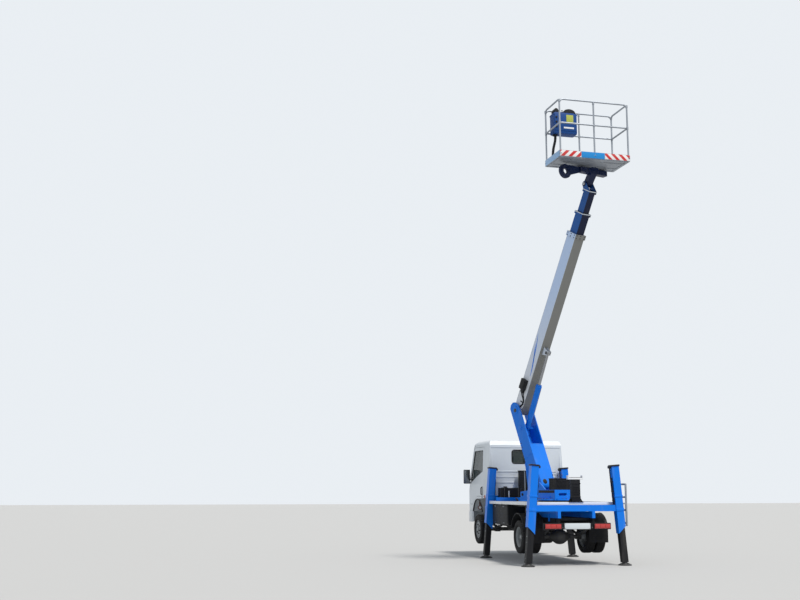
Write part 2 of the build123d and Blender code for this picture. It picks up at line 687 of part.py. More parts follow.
with BuildPart() as turret_box:
    box_foot = boom_point(TURRET_REAR_U - VALVE_BOX[0] / 2, TURRET_TOP_Z + SEAT_CLEARANCE, VALVE_BOX_V)
    with BuildSketch(Plane(origin=box_foot, x_dir=rearward, z_dir=(0, 0, 1))):
        Rectangle(VALVE_BOX[0], VALVE_BOX[1])
    extrude(amount=VALVE_BOX[2])
keep(turret_box, "turret_box")

# Lower boom
pivot_local = LOWER_PLANE.to_local_coords(pivot)
foot_s, foot_t = pivot_local.X, pivot_local.Y
half_depth = LOWER_DEPTH / 2
upper_slot = LOWER_WIDTH - 2 * LOWER_EAR
slot_mouth = LOWER_LENGTH - SLOT_MOUTH
ear_end = LOWER_LENGTH + EAR_REACH
with BuildPart() as lower_boom:
    with BuildSketch(LOWER_PLANE.offset(-LOWER_WIDTH / 2)):
        with BuildLine():
            Polyline(
                (60, -half_depth), (ear_end - 85, -half_depth), (ear_end - 20, -95), (ear_end, -10),
                (ear_end - 30, 60), (ear_end - 125, 130), (LOWER_LENGTH - 150, half_depth),
                (foot_s, half_depth), (foot_s, foot_t), (foot_s - LOWER_FOOT_RADIUS * 0.5, foot_t - LOWER_FOOT_RADIUS * 0.85),
                close=True)
        make_face()
        with Locations((foot_s, foot_t)):
            Circle(LOWER_FOOT_RADIUS)
            Circle(PIN_RADIUS + BORE_CLEARANCE, mode=Mode.SUBTRACT)
        with Locations((LOWER_LENGTH, 0)):
            Circle(PIN_RADIUS + BORE_CLEARANCE, mode=Mode.SUBTRACT)
    extrude(amount=LOWER_WIDTH)
    with BuildSketch(LOWER_PLANE.offset(-upper_slot / 2)):
        with BuildLine():
            Polyline(
                (SLOT_START, half_depth + 10), (SLOT_START, -half_depth + LOWER_WALL),
                (slot_mouth, -half_depth + LOWER_WALL), (slot_mouth, -half_depth - 10),
                (ear_end + 10, -half_depth - 10), (ear_end + 10, half_depth + 10), close=True)
        make_face()
    extrude(amount=upper_slot, mode=Mode.SUBTRACT)
    with BuildSketch(LOWER_PLANE.offset(-LOWER_WIDTH / 2 + LOWER_WALL)):
        with BuildLine():
            Polyline(
                (CAVITY_START, -half_depth + LOWER_WALL), (SLOT_START + 1, -half_depth + LOWER_WALL),
                (SLOT_START + 1, half_depth - LOWER_WALL), (CAVITY_START, half_depth - LOWER_WALL), close=True)
        make_face()
    extrude(amount=LOWER_WIDTH - 2 * LOWER_WALL, mode=Mode.SUBTRACT)
    with BuildSketch(LOWER_PLANE.offset(-LOWER_WIDTH / 2)):
        with Locations((UPPER_CYLINDER_S, UPPER_CYLINDER_T)):
            Circle(CYLINDER_PIN_RADIUS)
    extrude(amount=LOWER_WIDTH)
    for side in (-1, 1):
        with BuildSketch(LOWER_PLANE.offset(side * (EYE_WIDTH / 2 + SEAT_CLEARANCE + EAR_PLATE / 2) - EAR_PLATE / 2)):
            with BuildLine():
                Polyline(
                    (LOWER_CYLINDER_S - 110, -half_depth + 1), (LOWER_CYLINDER_S + 110, -half_depth + 1),
                    (LOWER_CYLINDER_S + EYE_RADIUS, -half_depth - LOWER_BRACKET_DROP - EYE_RADIUS),
                    (LOWER_CYLINDER_S - EYE_RADIUS, -half_depth - LOWER_BRACKET_DROP - EYE_RADIUS), close=True)
            make_face()
        extrude(amount=EAR_PLATE)
keep(lower_boom, "lower_boom")

# Upper boom
with BuildPart() as upper_boom:
    with BuildSketch(upper_section(170)):
        Rectangle(UPPER_WIDTH, UPPER_DEPTH)
    extrude(amount=UPPER_LENGTH - 170)
    with BuildSketch(upper_section(220)):
        Rectangle(UPPER_WIDTH - 2 * UPPER_WALL, UPPER_DEPTH - 2 * UPPER_WALL)
    extrude(amount=UPPER_LENGTH, mode=Mode.SUBTRACT)
    with BuildSketch(UPPER_PLANE.offset(-UPPER_WIDTH / 2)):
        with BuildLine():
            Polyline(
                (171, -UPPER_DEPTH / 2), (171, UPPER_DEPTH / 2), (60, 110), (-60, 90), (-100, 0), (-60, -90),
                (60, -110), close=True)
        make_face()
    extrude(amount=UPPER_WIDTH)
    with BuildSketch(UPPER_PLANE.offset(-upper_slot / 2 + SEAT_CLEARANCE)):
        Circle(KNEE_BOSS_RADIUS)
    extrude(amount=upper_slot - 2 * SEAT_CLEARANCE)
    with BuildSketch(UPPER_PLANE.offset(-LOWER_WIDTH / 2 - 12)):
        Circle(PIN_RADIUS)
    extrude(amount=LOWER_WIDTH + 24)
    with BuildSketch(upper_section(UPPER_LENGTH - END_COLLAR_LENGTH)):
        Rectangle(UPPER_WIDTH + 2 * COLLAR_RIM, UPPER_DEPTH + 2 * COLLAR_RIM)
        Rectangle(EXTENSION_1_WIDTH + 2 * SEAT_CLEARANCE, EXTENSION_1_DEPTH + 2 * SEAT_CLEARANCE, mode=Mode.SUBTRACT)
    extrude(amount=END_COLLAR_LENGTH)
    for side in (-1, 1):
        with BuildSketch(UPPER_PLANE.offset(side * (EYE_WIDTH / 2 + SEAT_CLEARANCE + EAR_PLATE / 2) - EAR_PLATE / 2)):
            with BuildLine():
                Polyline(
                    (UPPER_BRACKET_S - 90, -UPPER_DEPTH / 2 + 2), (UPPER_BRACKET_S + 90, -UPPER_DEPTH / 2 + 2),
                    (UPPER_BRACKET_S + 40, -UPPER_DEPTH / 2 - BRACKET_DROP - 40),
                    (UPPER_BRACKET_S - 40, -UPPER_DEPTH / 2 - BRACKET_DROP - 40), close=True)
            make_face()
        extrude(amount=EAR_PLATE)
keep(upper_boom, "upper_boom")

# Telescopic sections
SECTIONS = (
    # name, end, length, width, depth
    ("extension_1", UPPER_LENGTH + EXTENSION_1_OUT, EXTENSION_LENGTH, EXTENSION_1_WIDTH, EXTENSION_1_DEPTH),
    ("extension_2", UPPER_LENGTH + EXTENSION_1_OUT + EXTENSION_2_OUT, EXTENSION_2_LENGTH, EXTENSION_2_WIDTH,
     EXTENSION_2_DEPTH),
)
tip_s = UPPER_LENGTH + EXTENSION_1_OUT + EXTENSION_2_OUT
for name, end, length, width, depth in SECTIONS:
    with BuildPart() as section:
        with BuildSketch(upper_section(end - length)):
            Rectangle(width, depth)
            Rectangle(width - 2 * EXTENSION_WALL, depth - 2 * EXTENSION_WALL, mode=Mode.SUBTRACT)
        extrude(amount=length)
        with BuildSketch(upper_section(end - COLLAR_LENGTH)):
            Rectangle(width + 2 * COLLAR_RIM, depth + 2 * COLLAR_RIM)
            Rectangle(EXTENSION_2_WIDTH + 2 * SEAT_CLEARANCE, EXTENSION_2_DEPTH + 2 * SEAT_CLEARANCE, mode=Mode.SUBTRACT)
        extrude(amount=COLLAR_LENGTH)
        if name == "extension_2":
            with BuildSketch(upper_section(end - 10)):
                Rectangle(width + 2 * COLLAR_RIM, depth + 2 * COLLAR_RIM)
            extrude(amount=10)
            collar_half = depth / 2 + COLLAR_RIM
            for side in (-1, 1):
                with BuildSketch(UPPER_PLANE.offset(side * (width / 2 + COLLAR_RIM - HEAD_PLATE / 2) - HEAD_PLATE / 2)):
                    with BuildLine():
                        Polyline(
                            (end - 1, -collar_half), (end - 1, collar_half),
                            (end + HEAD_REACH - HEAD_EYE_RADIUS / 2, HEAD_RISE + HEAD_EYE_RADIUS * 0.866),
                            (end + HEAD_REACH + HEAD_EYE_RADIUS * 0.866, HEAD_RISE - HEAD_EYE_RADIUS / 2), close=True)
                    make_face()
                    with Locations((end + HEAD_REACH, HEAD_RISE)):
                        Circle(HEAD_EYE_RADIUS)
                        Circle(PIN_RADIUS + BORE_CLEARANCE, mode=Mode.SUBTRACT)
                extrude(amount=HEAD_PLATE)
    keep(section, name)

with BuildPart() as levelling_pin:
    with BuildSketch(UPPER_PLANE.offset(-EXTENSION_2_WIDTH / 2 - COLLAR_RIM - PIN_OVERHANG)):
        with Locations((tip_s + HEAD_REACH, HEAD_RISE)):
            Circle(PIN_RADIUS)
    extrude(amount=EXTENSION_2_WIDTH + 2 * COLLAR_RIM + 2 * PIN_OVERHANG)
keep(levelling_pin, "levelling_pin")


# Cylinders
def cylinder_parts(prefix, start, end, barrel_radius, rod_radius, barrel_length, rod_length):
    """A barrel with its eye at start and a rod with its eye at end, both across the boom plane."""
    direction = (end - start).normalized()
    section = Plane(origin=start, x_dir=sideways, z_dir=direction)
    eye_plane = Plane(origin=start, x_dir=direction, z_dir=sideways)
    with BuildPart() as barrel:
        with BuildSketch(section.offset(EYE_RADIUS * 0.7)):
            Circle(barrel_radius)
        extrude(amount=barrel_length)
        with BuildSketch(eye_plane.offset(-EYE_WIDTH / 2)):
            Circle(EYE_RADIUS)
        extrude(amount=EYE_WIDTH)
        with BuildSketch(eye_plane.offset(-EYE_WIDTH)):
            Circle(CYLINDER_PIN_RADIUS + BORE_CLEARANCE)
        extrude(amount=2 * EYE_WIDTH, mode=Mode.SUBTRACT)
        with BuildSketch(section.offset(EYE_RADIUS * 0.7 + 30)):
            Circle(rod_radius + BORE_CLEARANCE)
        extrude(amount=barrel_length, mode=Mode.SUBTRACT)
    keep(barrel, f"{prefix}_barrel")
    rod_plane = Plane(origin=end, x_dir=direction, z_dir=sideways)
    with BuildPart() as rod:
        with BuildSketch(Plane(origin=end, x_dir=sideways, z_dir=direction * -1).offset(EYE_RADIUS * 0.7)):
            Circle(rod_radius)
        extrude(amount=rod_length)
        with BuildSketch(rod_plane.offset(-EYE_WIDTH / 2)):
            Circle(EYE_RADIUS)
            Circle(CYLINDER_PIN_RADIUS, mode=Mode.SUBTRACT)
        extrude(amount=EYE_WIDTH)
    keep(rod, f"{prefix}_rod")


lower_start = boom_point(LOWER_CYLINDER_U, LOWER_CYLINDER_Z)
lower_end = lower_origin + lower_along * LOWER_CYLINDER_S - lower_across * (half_depth + LOWER_BRACKET_DROP)
upper_start = lower_origin + lower_along * UPPER_CYLINDER_S + lower_across * UPPER_CYLINDER_T
upper_end = knee + upper_along * UPPER_BRACKET_S - upper_across * (UPPER_DEPTH / 2 + BRACKET_DROP)
cylinder_parts("lower_cylinder", lower_start, lower_end, LOWER_BARREL_RADIUS, LOWER_ROD_RADIUS,
               LOWER_BARREL_LENGTH, LOWER_ROD_LENGTH)
cylinder_parts("upper_cylinder", upper_start, upper_end, UPPER_BARREL_RADIUS, UPPER_ROD_RADIUS,
               UPPER_BARREL_LENGTH, UPPER_ROD_LENGTH)

# Carrier: levels the basket at the boom head, and its post carries the basket's turntable
tip = knee + upper_along * (tip_s + HEAD_REACH) + upper_across * HEAD_RISE
tip_u = (tip - slew_origin).dot(rearward)
tip_z = tip.Z
turn_u = tip_u + TURN_OUT
turn_axis = boom_point(turn_u, 0)
floor_z = tip_z + BASKET_RISE
table_z = floor_z - TABLE_THICKNESS
beam_top = table_z - TABLE_THICKNESS
beam_bottom = beam_top - CARRIER_BEAM_HEIGHT
boss_z = beam_top - BOSS_RADIUS
with BuildPart() as basket_carrier:
    hub_width = EXTENSION_2_WIDTH + 2 * COLLAR_RIM - 2 * HEAD_PLATE - 2 * HUB_SIDE_GAP
    with BuildSketch(BOOM_PLANE.offset(-hub_width / 2)):
        with Locations((tip_u, tip_z)):
            Circle(HEAD_EYE_RADIUS)
        with BuildLine():
            Polyline((tip_u - HEAD_EYE_RADIUS * 0.9, tip_z + 20), (tip_u + HEAD_EYE_RADIUS * 0.8, tip_z - 35),
                     (turn_u + 60, beam_bottom + 1), (turn_u - 90, beam_bottom + 1), close=True)
        make_face()
        with Locations((tip_u, tip_z)):
            Circle(PIN_RADIUS + BORE_CLEARANCE, mode=Mode.SUBTRACT)
    extrude(amount=hub_width)
    with BuildSketch(Plane(origin=boom_point(turn_u, beam_bottom), x_dir=sideways, z_dir=(0, 0, 1))):
        Rectangle(2 * CARRIER_BEAM_HALF, CARRIER_BEAM_WIDTH)
    extrude(amount=CARRIER_BEAM_HEIGHT)
    with BuildSketch(Plane.XY.offset(beam_top - TABLE_THICKNESS)):
        with Locations((turn_axis.X, turn_axis.Y)):
            Circle(TABLE_RADIUS)
    extrude(amount=2 * TABLE_THICKNESS - SEAT_CLEARANCE)
    with BuildSketch(Plane(origin=turn_axis, x_dir=sideways, z_dir=rearward).offset(-ARM_PLATE / 2)):
        with BuildLine():
            Polyline((-CARRIER_BEAM_HALF + 40, beam_top), (-CARRIER_BEAM_HALF + 40, beam_bottom),
                     (-ARM_REACH, boss_z - BOSS_RADIUS * 0.7), (-ARM_REACH, boss_z + BOSS_RADIUS * 0.9), close=True)
        make_face()
        with Locations((-ARM_REACH, boss_z)):
            Circle(BOSS_RADIUS)
            Circle(BOSS_HOLE, mode=Mode.SUBTRACT)
    extrude(amount=ARM_PLATE)
keep(basket_carrier, "basket_carrier")

# Basket
basket_turn = math.radians(BASKET_ANGLE)
basket_centre = boom_point(tip_u + BASKET_OUT, floor_z, BASKET_V)
BASKET_PLANE = Plane(
    origin=basket_centre, x_dir=(math.cos(basket_turn), math.sin(basket_turn), 0), z_dir=(0, 0, 1))
with BuildPart() as basket_floor:
    with BuildSketch(BASKET_PLANE):
        Rectangle(BASKET_LENGTH, BASKET_DEPTH)
        Rectangle(BASKET_LENGTH - 2 * TOE_SHEET, BASKET_DEPTH - 2 * TOE_SHEET, mode=Mode.SUBTRACT)
    extrude(amount=TOE_BOARD)
    with BuildSketch(BASKET_PLANE):
        Rectangle(BASKET_LENGTH, BASKET_DEPTH)
    extrude(amount=BASKET_FLOOR)
    with BuildSketch(Plane.XY.offset(table_z)):
        with Locations((turn_axis.X, turn_axis.Y)):
            Circle(TABLE_RADIUS)
    extrude(amount=TABLE_THICKNESS)
keep(basket_floor, "basket_floor")

rail_x = BASKET_LENGTH / 2 - TOE_SHEET - RAIL_TUBE
rail_y = BASKET_DEPTH / 2 - TOE_SHEET - RAIL_TUBE
with BuildPart() as basket_rails:
    with BuildSketch(BASKET_PLANE.offset(BASKET_FLOOR)):
        for post_x in (-rail_x, 0, rail_x):
            for post_y in (-rail_y, rail_y):
                with Locations((post_x, post_y)):
                    Circle(RAIL_TUBE)
    extrude(amount=BASKET_HEIGHT - BASKET_FLOOR - RAIL_TUBE)
    for rail_z in (BASKET_HEIGHT - RAIL_TUBE, BASKET_HEIGHT * 0.58):
        rail_plane = BASKET_PLANE.offset(rail_z)
        with BuildSketch(rail_plane.offset(-RAIL_TUBE)):
            RectangleRounded(2 * rail_x + 2 * RAIL_TUBE, 2 * rail_y + 2 * RAIL_TUBE, 2 * RAIL_TUBE)
            RectangleRounded(2 * rail_x - 2 * RAIL_TUBE, 2 * rail_y - 2 * RAIL_TUBE, 3, mode=Mode.SUBTRACT)
        extrude(amount=2 * RAIL_TUBE)
keep(basket_rails, "basket_rails")

with BuildPart() as basket_console:
    console_x = -BASKET_LENGTH / 2 + CONSOLE_SIDE + CONSOLE[0] / 2
    console_y = rail_y - RAIL_TUBE - SEAT_CLEARANCE - CONSOLE[1] / 2
    with BuildSketch(BASKET_PLANE.offset(CONSOLE_BOTTOM)):
        with Locations((console_x, console_y)):
            Rectangle(CONSOLE[0], CONSOLE[1])
    extrude(amount=CONSOLE[2])
    fillet(basket_console.edges().filter_by(Axis.Z), 30)
keep(basket_console, "basket_console")

# Cab: nested forms, from the outer skin inwards
CAB_INSETS = {
    "skin": 0, "flange": DOOR_FLANGE, "glass_out": GLASS_INSET, "glass_in": GLASS_INSET + GLASS,
    "inside": CAB_WALL, "fit": CAB_WALL + SEAT_CLEARANCE,
}
cab_forms = {}
arch_reach = math.sqrt(ARCH_RADIUS ** 2 - (CAB_FLOOR_FRONT_Z - ARCH_CENTRE_Z) ** 2)
for form, inset in CAB_INSETS.items():
    with BuildPart() as cab_form:
        with BuildSketch(long(-CAB_HALF_WIDTH)) as cab_side:
            with BuildLine():
                arch_top = (FRONT_AXLE_Y, ARCH_CENTRE_Z + ARCH_RADIUS)
                arch_front = (FRONT_AXLE_Y + arch_reach, CAB_FLOOR_FRONT_Z)
                arch_mid = (FRONT_AXLE_Y + ARCH_RADIUS * 0.7071, ARCH_CENTRE_Z + ARCH_RADIUS * 0.7071)
                ThreePointArc(arch_front, arch_mid, arch_top)
                Polyline(
                    arch_top, (CAB_BACK_Y, CAB_SILL_Z + CAB_BACK_RISE), (CAB_BACK_Y, CAB_ROOF_Z - 120),
                    (CAB_BACK_Y + 60, CAB_ROOF_Z - 30), (CAB_BACK_Y + 320, CAB_ROOF_Z),
                    (CAB_BROW_Y - 160, CAB_ROOF_Z - 10), (CAB_BROW_Y, CAB_BROW_Z), (SCREEN_FOOT_Y, SCREEN_FOOT_Z),
                    (CAB_FRONT_Y, CAB_NOSE_Z), (CAB_FRONT_Y, CAB_FLOOR_FRONT_Z), arch_front)
            make_face()
            if inset:
                offset(amount=-inset, kind=Kind.INTERSECTION, mode=Mode.REPLACE)
        extrude(amount=2 * CAB_HALF_WIDTH)
        with BuildSketch(wide(CAB_FRONT_Y)) as cab_front:
            with BuildLine():
                Polyline(
                    (-CAB_HALF_WIDTH, 900), (-CAB_HALF_WIDTH, CAB_BELT_Z), (-CAB_ROOF_HALF, CAB_ROOF_Z),
                    (CAB_ROOF_HALF, CAB_ROOF_Z), (CAB_HALF_WIDTH, CAB_BELT_Z), (CAB_HALF_WIDTH, 900), close=True)
            make_face()
            fillet(cab_front.vertices().group_by(Axis.Z)[-1], CAB_CORNER)
            if inset:
                offset(amount=-inset, kind=Kind.INTERSECTION, mode=Mode.REPLACE)
        extrude(amount=CAB_FRONT_Y - CAB_BACK_Y, mode=Mode.INTERSECT)
        tunnel_front = CAB_BACK_Y + TUNNEL_LENGTH + inset
        with BuildSketch(wide(tunnel_front)):
            with Locations((0, TUNNEL_TOP_Z + inset)):
                Rectangle(2 * (TUNNEL_HALF + inset), TUNNEL_TOP_Z, align=(Align.CENTER, Align.MAX))
        extrude(amount=2 * TUNNEL_LENGTH, mode=Mode.SUBTRACT)
    cab_forms[form] = cab_form.part

DOOR_OUTLINE = ((1500, 1300), (2050, 1300), (2420, 1120), (2590, 1120), (2590, 1640), (2300, 2385), (1500, 2385))
WINDOW_OUTLINE = ((1600, 1850), (1600, 2310), (2270, 2310), (2510, 1690), (2510, 1620))
SIDE_DEPTH = 300


def side_prism(outline, grow=0.0):
    with BuildPart(mode=Mode.PRIVATE) as prism:
        with BuildSketch(long(CAB_HALF_WIDTH - SIDE_DEPTH)):
            with BuildLine():
                Polyline(*outline, close=True)
            make_face()
            if grow:
                offset(amount=grow, kind=Kind.INTERSECTION, mode=Mode.REPLACE)
        extrude(amount=SIDE_DEPTH + 50)
    return prism.part


door_prism = side_prism(DOOR_OUTLINE)
door_inner = side_prism(DOOR_OUTLINE, -DOOR_STEP)
door_hole = side_prism(DOOR_OUTLINE, DOOR_GAP)
window_prism = side_prism(WINDOW_OUTLINE)
with BuildPart() as windscreen_prism:
    with BuildSketch(wide(CAB_FRONT_Y + 20)):
        with BuildLine():
            Polyline((-740, 1700), (740, 1700), (660, 2390), (-660, 2390), close=True)
        make_face()
    extrude(amount=600)
with BuildPart() as rear_window_prism:
    with BuildSketch(wide(CAB_BACK_Y + 100)):
        with Locations((0, 2160)):
            RectangleRounded(640, 290, 60)
    extrude(amount=200)

with BuildPart() as cab_shell:
    add(cab_forms["skin"])
    add(cab_forms["inside"], mode=Mode.SUBTRACT)
    add(door_hole, mode=Mode.SUBTRACT)
    add(mirror(door_hole, about=Plane.YZ, mode=Mode.PRIVATE), mode=Mode.SUBTRACT)
    add(windscreen_prism.part, mode=Mode.SUBTRACT)
    add(rear_window_prism.part, mode=Mode.SUBTRACT)
    for side in (-1, 1):
        with BuildSketch(long(side * (tilt_pin_half - 10) - (TILT_ARM if side > 0 else 0))):
            with Locations((CAB_TILT_Y, CAB_TILT_Z)):
                Circle(2 * TILT_PIN_RADIUS)
            with BuildLine():
                Polyline((CAB_TILT_Y - 2 * TILT_PIN_RADIUS, CAB_TILT_Z), (CAB_TILT_Y + 2 * TILT_PIN_RADIUS, CAB_TILT_Z),
                         (CAB_TILT_Y + 70, CAB_FLOOR_FRONT_Z + 5), (CAB_TILT_Y - 70, CAB_FLOOR_FRONT_Z + 5), close=True)
            make_face()
            with Locations((CAB_TILT_Y, CAB_TILT_Z)):
                Circle(TILT_PIN_RADIUS + BORE_CLEARANCE, mode=Mode.SUBTRACT)
        extrude(amount=TILT_ARM)
        for hinge_z in HINGE_HEIGHTS:
            for leaf_z in (hinge_z - HINGE_BARREL / 2 - BORE_CLEARANCE - HINGE_LEAF, hinge_z + HINGE_BARREL / 2 + BORE_CLEARANCE):
                with BuildSketch(Plane.XY.offset(leaf_z)):
                    with Locations((side * DOOR_HINGE_X, DOOR_HINGE_Y)):
                        Circle(HINGE_BARREL_RADIUS)
                    with Locations((side * (CAB_HALF_WIDTH - HINGE_LEAF / 2), DOOR_HINGE_Y + 10)):
                        Rectangle(HINGE_LEAF, 20)
                extrude(amount=HINGE_LEAF)
            with BuildSketch(Plane.XY.offset(hinge_z - HINGE_BARREL / 2 - 1)):
                with Locations((side * DOOR_HINGE_X, DOOR_HINGE_Y)):
                    Circle(HINGE_PIN_RADIUS)
            extrude(amount=HINGE_BARREL + 2)
keep(cab_shell, "cab_shell")

with BuildPart() as glass_skin:
    add(cab_forms["glass_out"])
    add(cab_forms["glass_in"], mode=Mode.SUBTRACT)
with BuildPart() as cab_glass:
    add(windscreen_prism.part)
    add(rear_window_prism.part)
    add(glass_skin.part, mode=Mode.INTERSECT)
keep(cab_glass, "cab_glass")

for name, flip in (("left", True), ("right", False)):
    with BuildPart() as door:
        add(cab_forms["skin"])
        add(cab_forms["flange"], mode=Mode.SUBTRACT)
        add(door_prism, mode=Mode.INTERSECT)
        with BuildPart(mode=Mode.PRIVATE) as inner_panel:
            add(cab_forms["skin"])
            add(cab_forms["inside"], mode=Mode.SUBTRACT)
            add(door_inner, mode=Mode.INTERSECT)
        add(inner_panel.part)
        add(window_prism, mode=Mode.SUBTRACT)
        for hinge_z in HINGE_HEIGHTS:
            notch = HINGE_BARREL + 2 * HINGE_LEAF + 8 * BORE_CLEARANCE
            with BuildSketch(Plane.XY.offset(hinge_z - notch / 2)):
                with Locations((DOOR_HINGE_X, DOOR_HINGE_Y)):
                    Rectangle(3 * HINGE_LEAF, 20)
            extrude(amount=notch, mode=Mode.SUBTRACT)
            with BuildSketch(Plane.XY.offset(hinge_z - HINGE_BARREL / 2)):
                with Locations((DOOR_HINGE_X, DOOR_HINGE_Y)):
                    Circle(HINGE_BARREL_RADIUS)
                with Locations((CAB_HALF_WIDTH - HINGE_LEAF / 2, DOOR_HINGE_Y - 10)):
                    Rectangle(HINGE_LEAF, 20)
                with Locations((DOOR_HINGE_X, DOOR_HINGE_Y)):
                    Circle(HINGE_PIN_RADIUS + BORE_CLEARANCE, mode=Mode.SUBTRACT)
            extrude(amount=HINGE_BARREL)
        if flip:
            mirror(about=Plane.YZ, mode=Mode.REPLACE)
    keep(door, f"door_{name}")
    with BuildPart() as door_glass:
        add(window_prism)
        add(glass_skin.part, mode=Mode.INTERSECT)
        if flip:
            mirror(about=Plane.YZ, mode=Mode.REPLACE)
    keep(door_glass, f"door_glass_{name}")

with BuildPart() as front_bumper:
    with BuildSketch(Plane.XY.offset(CAB_SKIRT_Z)):
        with Locations((0, (BUMPER_FRONT_Y + BUMPER_BACK_Y) / 2)):
            RectangleRounded(2 * CAB_HALF_WIDTH + 20, BUMPER_FRONT_Y - BUMPER_BACK_Y, 70)
        with Locations((0, (BUMPER_FRONT_Y + BUMPER_BACK_Y) / 2 - 60)):
            Rectangle(2 * CAB_HALF_WIDTH - 60, BUMPER_FRONT_Y - BUMPER_BACK_Y - 40, mode=Mode.SUBTRACT)
    extrude(amount=CAB_FLOOR_FRONT_Z - CAB_SKIRT_Z)
keep(front_bumper, "front_bumper")

# Inside the cab
with BuildPart() as cab_seats:
    for seat_x, seat_width in SEATS:
        with BuildSketch(long(seat_x - seat_width / 2)):
            with BuildLine():
                Polyline(
                    (SEAT_REAR_Y, CAB_SILL_Z), (SEAT_REAR_Y, SEAT_TOP_Z), (SEAT_REAR_Y - 30, SEAT_BACK_TOP_Z),
                    (SEAT_REAR_Y + 70, SEAT_BACK_TOP_Z), (SEAT_REAR_Y + 150, SEAT_TOP_Z + 20),
                    (SEAT_FRONT_Y, SEAT_TOP_Z), (SEAT_FRONT_Y + 20, SEAT_TOP_Z - 60), (SEAT_FRONT_Y - 20, CAB_SILL_Z),
                    close=True)
            make_face()
        extrude(amount=seat_width)
    add(cab_forms["fit"], mode=Mode.INTERSECT)
keep(cab_seats, "cab_seats")

dash_y = CAB_FRONT_Y - DASH_DEPTH
DASH_OUTLINE = (
    (dash_y, DASH_TOP_Z - 100), (dash_y + 40, DASH_TOP_Z), (CAB_FRONT_Y + 14, DASH_TOP_Z),
    (CAB_FRONT_Y + 14, DASH_BOTTOM_Z), (dash_y + 10, DASH_BOTTOM_Z),
)
with BuildPart() as dash_panel:
    with BuildSketch(long(-DASH_HALF)):
        with BuildLine():
            Polyline(*DASH_OUTLINE, close=True)
        make_face()
    extrude(amount=2 * DASH_HALF)
    add(cab_forms["fit"], mode=Mode.INTERSECT)
keep(dash_panel, "dash_panel")

with BuildPart() as dash_room:
    with BuildSketch(long(-DASH_HALF)):
        with BuildLine():
            Polyline(*DASH_OUTLINE, close=True)
        make_face()
        offset(amount=SEAT_CLEARANCE, kind=Kind.INTERSECTION, mode=Mode.REPLACE)
    extrude(amount=2 * DASH_HALF)

wheel_plane = Plane(origin=(-430, 2170, 1700), x_dir=(1, 0, 0), z_dir=(0, -0.55, 0.835))
with BuildPart() as steering_wheel:
    with BuildSketch(wheel_plane):
        Circle(210)
        Circle(182, mode=Mode.SUBTRACT)
        Rectangle(380, 30)
        Circle(50)
    extrude(amount=22)
    with BuildSketch(wheel_plane):
        Circle(22)
    extrude(amount=-260)
    add(dash_room.part, mode=Mode.SUBTRACT)
keep(steering_wheel, "steering_wheel")

for name, side in (("left", -1), ("right", 1)):
    with BuildPart() as mirror_unit:
        with Locations((side * (CAB_HALF_WIDTH + MIRROR_OUT), MIRROR_Y, MIRROR_Z)):
            Box(*MIRROR)
        for arm_z in (MIRROR_Z - 140, MIRROR_Z - 60):
            with Locations((side * (CAB_HALF_WIDTH + MIRROR_ARM[0] / 2 + SEAT_CLEARANCE), MIRROR_Y, arm_z)):
                Box(*MIRROR_ARM)
    keep(mirror_unit, f"mirror_{name}")

with BuildPart() as head_lamps:
    for side in (-1, 1):
        with Locations((side * HEAD_LAMP_X, CAB_FRONT_Y + HEAD_LAMP[1] / 2, HEAD_LAMP_Z)):
            Box(*HEAD_LAMP)
keep(head_lamps, "head_lamps")

# Rear mudguards, side boxes, driveline, rear bumper and lamps
with BuildPart() as rear_mudguards:
    for side in (-1, 1):
        with BuildSketch(long(side * (TRACK_HALF + TYRE_WIDTH / 2 + 10))):
            with BuildLine():
                guard_out = TYRE_RADIUS + MUDGUARD_GAP
                guard_in = guard_out - MUDGUARD_SHEET
                CenterArc((REAR_AXLE_Y, REAR_HUB_Z + 20), guard_out, 20, 140)
                CenterArc((REAR_AXLE_Y, REAR_HUB_Z + 20), guard_in, 20, 140)
                for degrees in (20, 160):
                    ray = (math.cos(math.radians(degrees)), math.sin(math.radians(degrees)))
                    Line((REAR_AXLE_Y + guard_in * ray[0], REAR_HUB_Z + 20 + guard_in * ray[1]),
                         (REAR_AXLE_Y + guard_out * ray[0], REAR_HUB_Z + 20 + guard_out * ray[1]))
            make_face()
        extrude(amount=-side * MUDGUARD_WIDTH)
        guard_top = REAR_HUB_Z + 20 + guard_out
        with BuildSketch(Plane.XY.offset(guard_top - 8)):
            with Locations((side * (TRACK_HALF - TWIN_PITCH / 2), REAR_AXLE_Y)):
                Rectangle(40, 120)
        extrude(amount=deck_bottom - guard_top + 8)
keep(rear_mudguards, "rear_mudguards")

with BuildPart() as side_boxes:
    for side, box_y, box_length, box_height in SIDE_BOXES:
        with Locations((side * SIDE_BOX_X, box_y, deck_bottom - box_height / 2)):
            Box(SIDE_BOX_WIDTH, box_length, box_height)
keep(side_boxes, "side_boxes")

with BuildPart() as drive_line:
    axle_centre = Vector(0, REAR_AXLE_Y, REAR_HUB_Z)
    shaft_start = Vector(0, GEARBOX_END_Y - SEAT_CLEARANCE, 790)
    shaft_dir = (axle_centre - shaft_start).normalized()
    shaft_length = (axle_centre - shaft_start).length - DIFFERENTIAL_RADIUS - DIFFERENTIAL_BULGE - SEAT_CLEARANCE
    slope_slack = SHAFT_RADIUS * abs(shaft_dir.Z)
    with BuildSketch(Plane(origin=shaft_start + shaft_dir * slope_slack, x_dir=(1, 0, 0), z_dir=shaft_dir)):
        Circle(SHAFT_RADIUS)
    extrude(amount=shaft_length - slope_slack)
    with BuildSketch(wide(600)):
        with Locations((-RAIL_X + 10, RAIL_TOP_Z - RAIL_HEIGHT - SILENCER_RADIUS - SEAT_CLEARANCE)):
            Circle(SILENCER_RADIUS)
    extrude(amount=600)
keep(drive_line, "drive_line")

